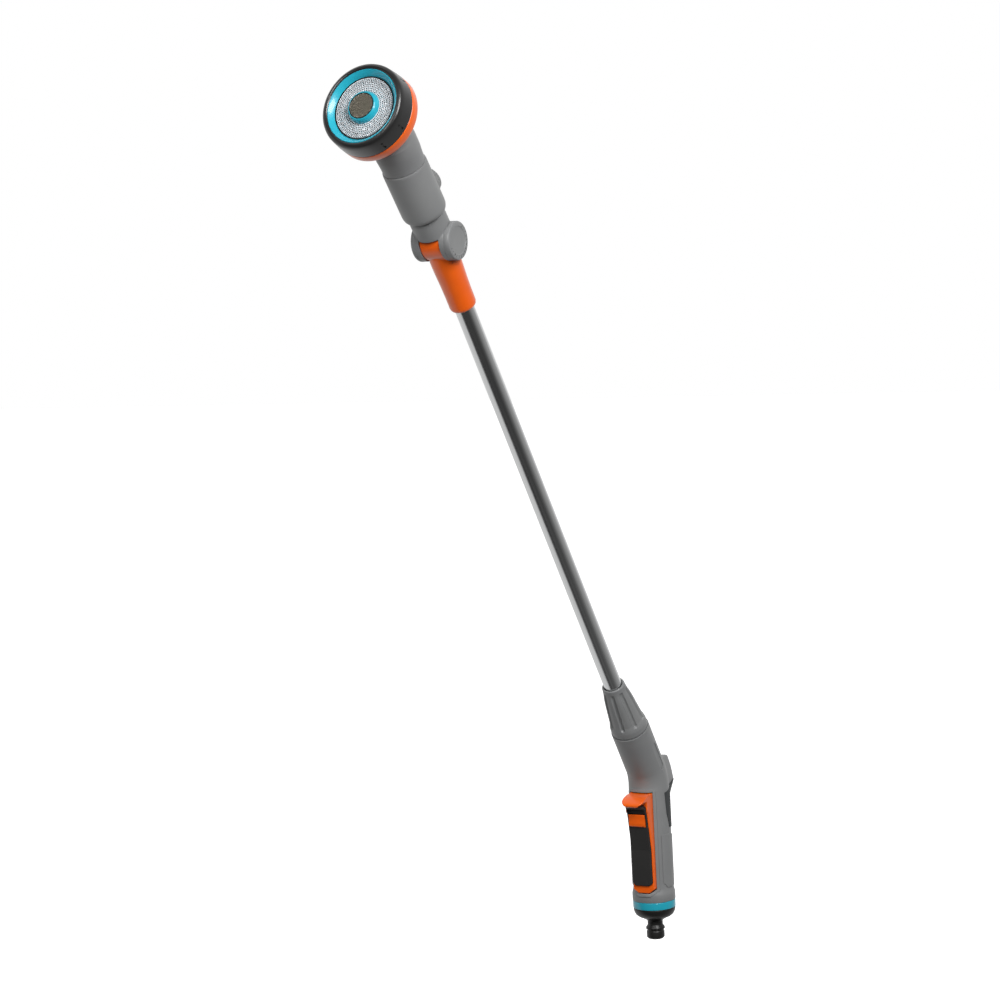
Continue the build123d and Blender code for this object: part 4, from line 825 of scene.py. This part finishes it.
# studio: a white room behind the wand, dark behind and below the viewer
studio = {"floor": -0.30, "paper": "#fbfbfb", "viewer": (0.487, -0.868, 0.092),
          "right": (0.873, 0.485, -0.051),
          "leftSide": ((0.40, 0.05), (0.445, 0.05), (0.51, 0.70), (1.0, 0.85)),
          "rightSide": ((0.31, 0.05), (0.48, 0.28), (0.715, 0.46), (0.95, 0.95))}
takeUp()
bpy.ops.mesh.primitive_plane_add(size=24, location=(0, 0, studio["floor"]))
floor = nameIt("studioFloor")
paper, tree, shader, place = startMaterial("paperBackdrop", Roughness=0.9, IOR=1.3)
shader.inputs["Base Color"].default_value = hexColour(studio["paper"])
shader.inputs["Emission Color"].default_value = (1, 1, 1, 1)
shader.inputs["Emission Strength"].default_value = 0.9
floor.data.materials.append(paper)
floor.visible_glossy = False
floor.visible_diffuse = False

world = bpy.context.scene.world or bpy.data.worlds.new("studioWorld")
bpy.context.scene.world = world
world.use_nodes = True
sky = world.node_tree
background = sky.nodes["Background"]
background.inputs["Color"].default_value = (1, 1, 1, 1)
direction = addNode(sky, "ShaderNodeTexCoord").outputs["Generated"]
away = addNode(sky, "ShaderNodeVectorMath", {1: studio["viewer"]}, {0: direction}, operation="DOT_PRODUCT")
share = addNode(sky, "ShaderNodeMapRange", {"From Min": 1.0, "From Max": -1.0},
                {"Value": away.outputs["Value"]})


def sideRamp(stops):
    ramp = addNode(sky, "ShaderNodeValToRGB", links={"Fac": share.outputs["Result"]})
    while len(ramp.color_ramp.elements) < len(stops):
        ramp.color_ramp.elements.new(0.5)
    for element, (position, level) in zip(ramp.color_ramp.elements, stops):
        element.position = position
        element.color = (level, level, level, 1)
    return ramp.outputs["Color"]


across = addNode(sky, "ShaderNodeVectorMath", {1: studio["right"]}, {0: direction}, operation="DOT_PRODUCT")
toRight = addNode(sky, "ShaderNodeMapRange", {"From Min": -0.15, "From Max": 0.2},
                  {"Value": across.outputs["Value"]},
                  interpolation_type="SMOOTHSTEP")
room = addNode(sky, "ShaderNodeMix", links={"Factor": toRight.outputs["Result"],
                                            "A": sideRamp(studio["leftSide"]),
                                            "B": sideRamp(studio["rightSide"])}, data_type="RGBA")
seen = addNode(sky, "ShaderNodeLightPath")
light = addNode(sky, "ShaderNodeMix", {"B": (1, 1, 1, 1)}, {"Factor": seen.outputs["Is Camera Ray"],
                                                            "A": room.outputs["Result"]}, data_type="RGBA")
sky.links.new(light.outputs["Result"], background.inputs["Color"])
background.inputs["Strength"].default_value = 1.0
bpy.context.scene.view_settings.view_transform = "Standard"


def softBox(name, place, target, size, power):
    takeUp()
    bpy.ops.object.light_add(type="AREA", location=place)
    light = bpy.context.active_object
    light.name = name
    light.data.shape = "RECTANGLE"
    light.data.size, light.data.size_y = size
    light.data.energy = power
    light.rotation_euler = (Vector(target) - Vector(place)).to_track_quat("-Z", "Y").to_euler()
    return light


softBox("keyRight", (2.0, -1.5, 1.9), (0, -0.25, 0.4), (1.0, 1.4), 84)
softBox("fillFront", (0.2, -2.6, 1.6), (0, -0.25, 0.4), (1.0, 1.0), 29)

view = {"sensor": 36, "lens": 107.05, "place": (1.2475, -2.4804, 0.6798)}
camera = bpy.data.cameras.new("mainCamera")
cameraPiece = bpy.data.objects.new("mainCamera", camera)
bpy.context.scene.collection.objects.link(cameraPiece)
camera.sensor_width = view["sensor"]
camera.lens = view["lens"]
right, up, back = (0.87314, 0.48468, -0.05124), (-0.00022, 0.10541, 0.99426), (0.48744, -0.86809, 0.09207)
turn = Matrix((right, up, back)).transposed().to_4x4()
cameraPiece.matrix_world = Matrix.Translation(view["place"]) @ turn
bpy.context.scene.camera = cameraPiece
print("studio made")
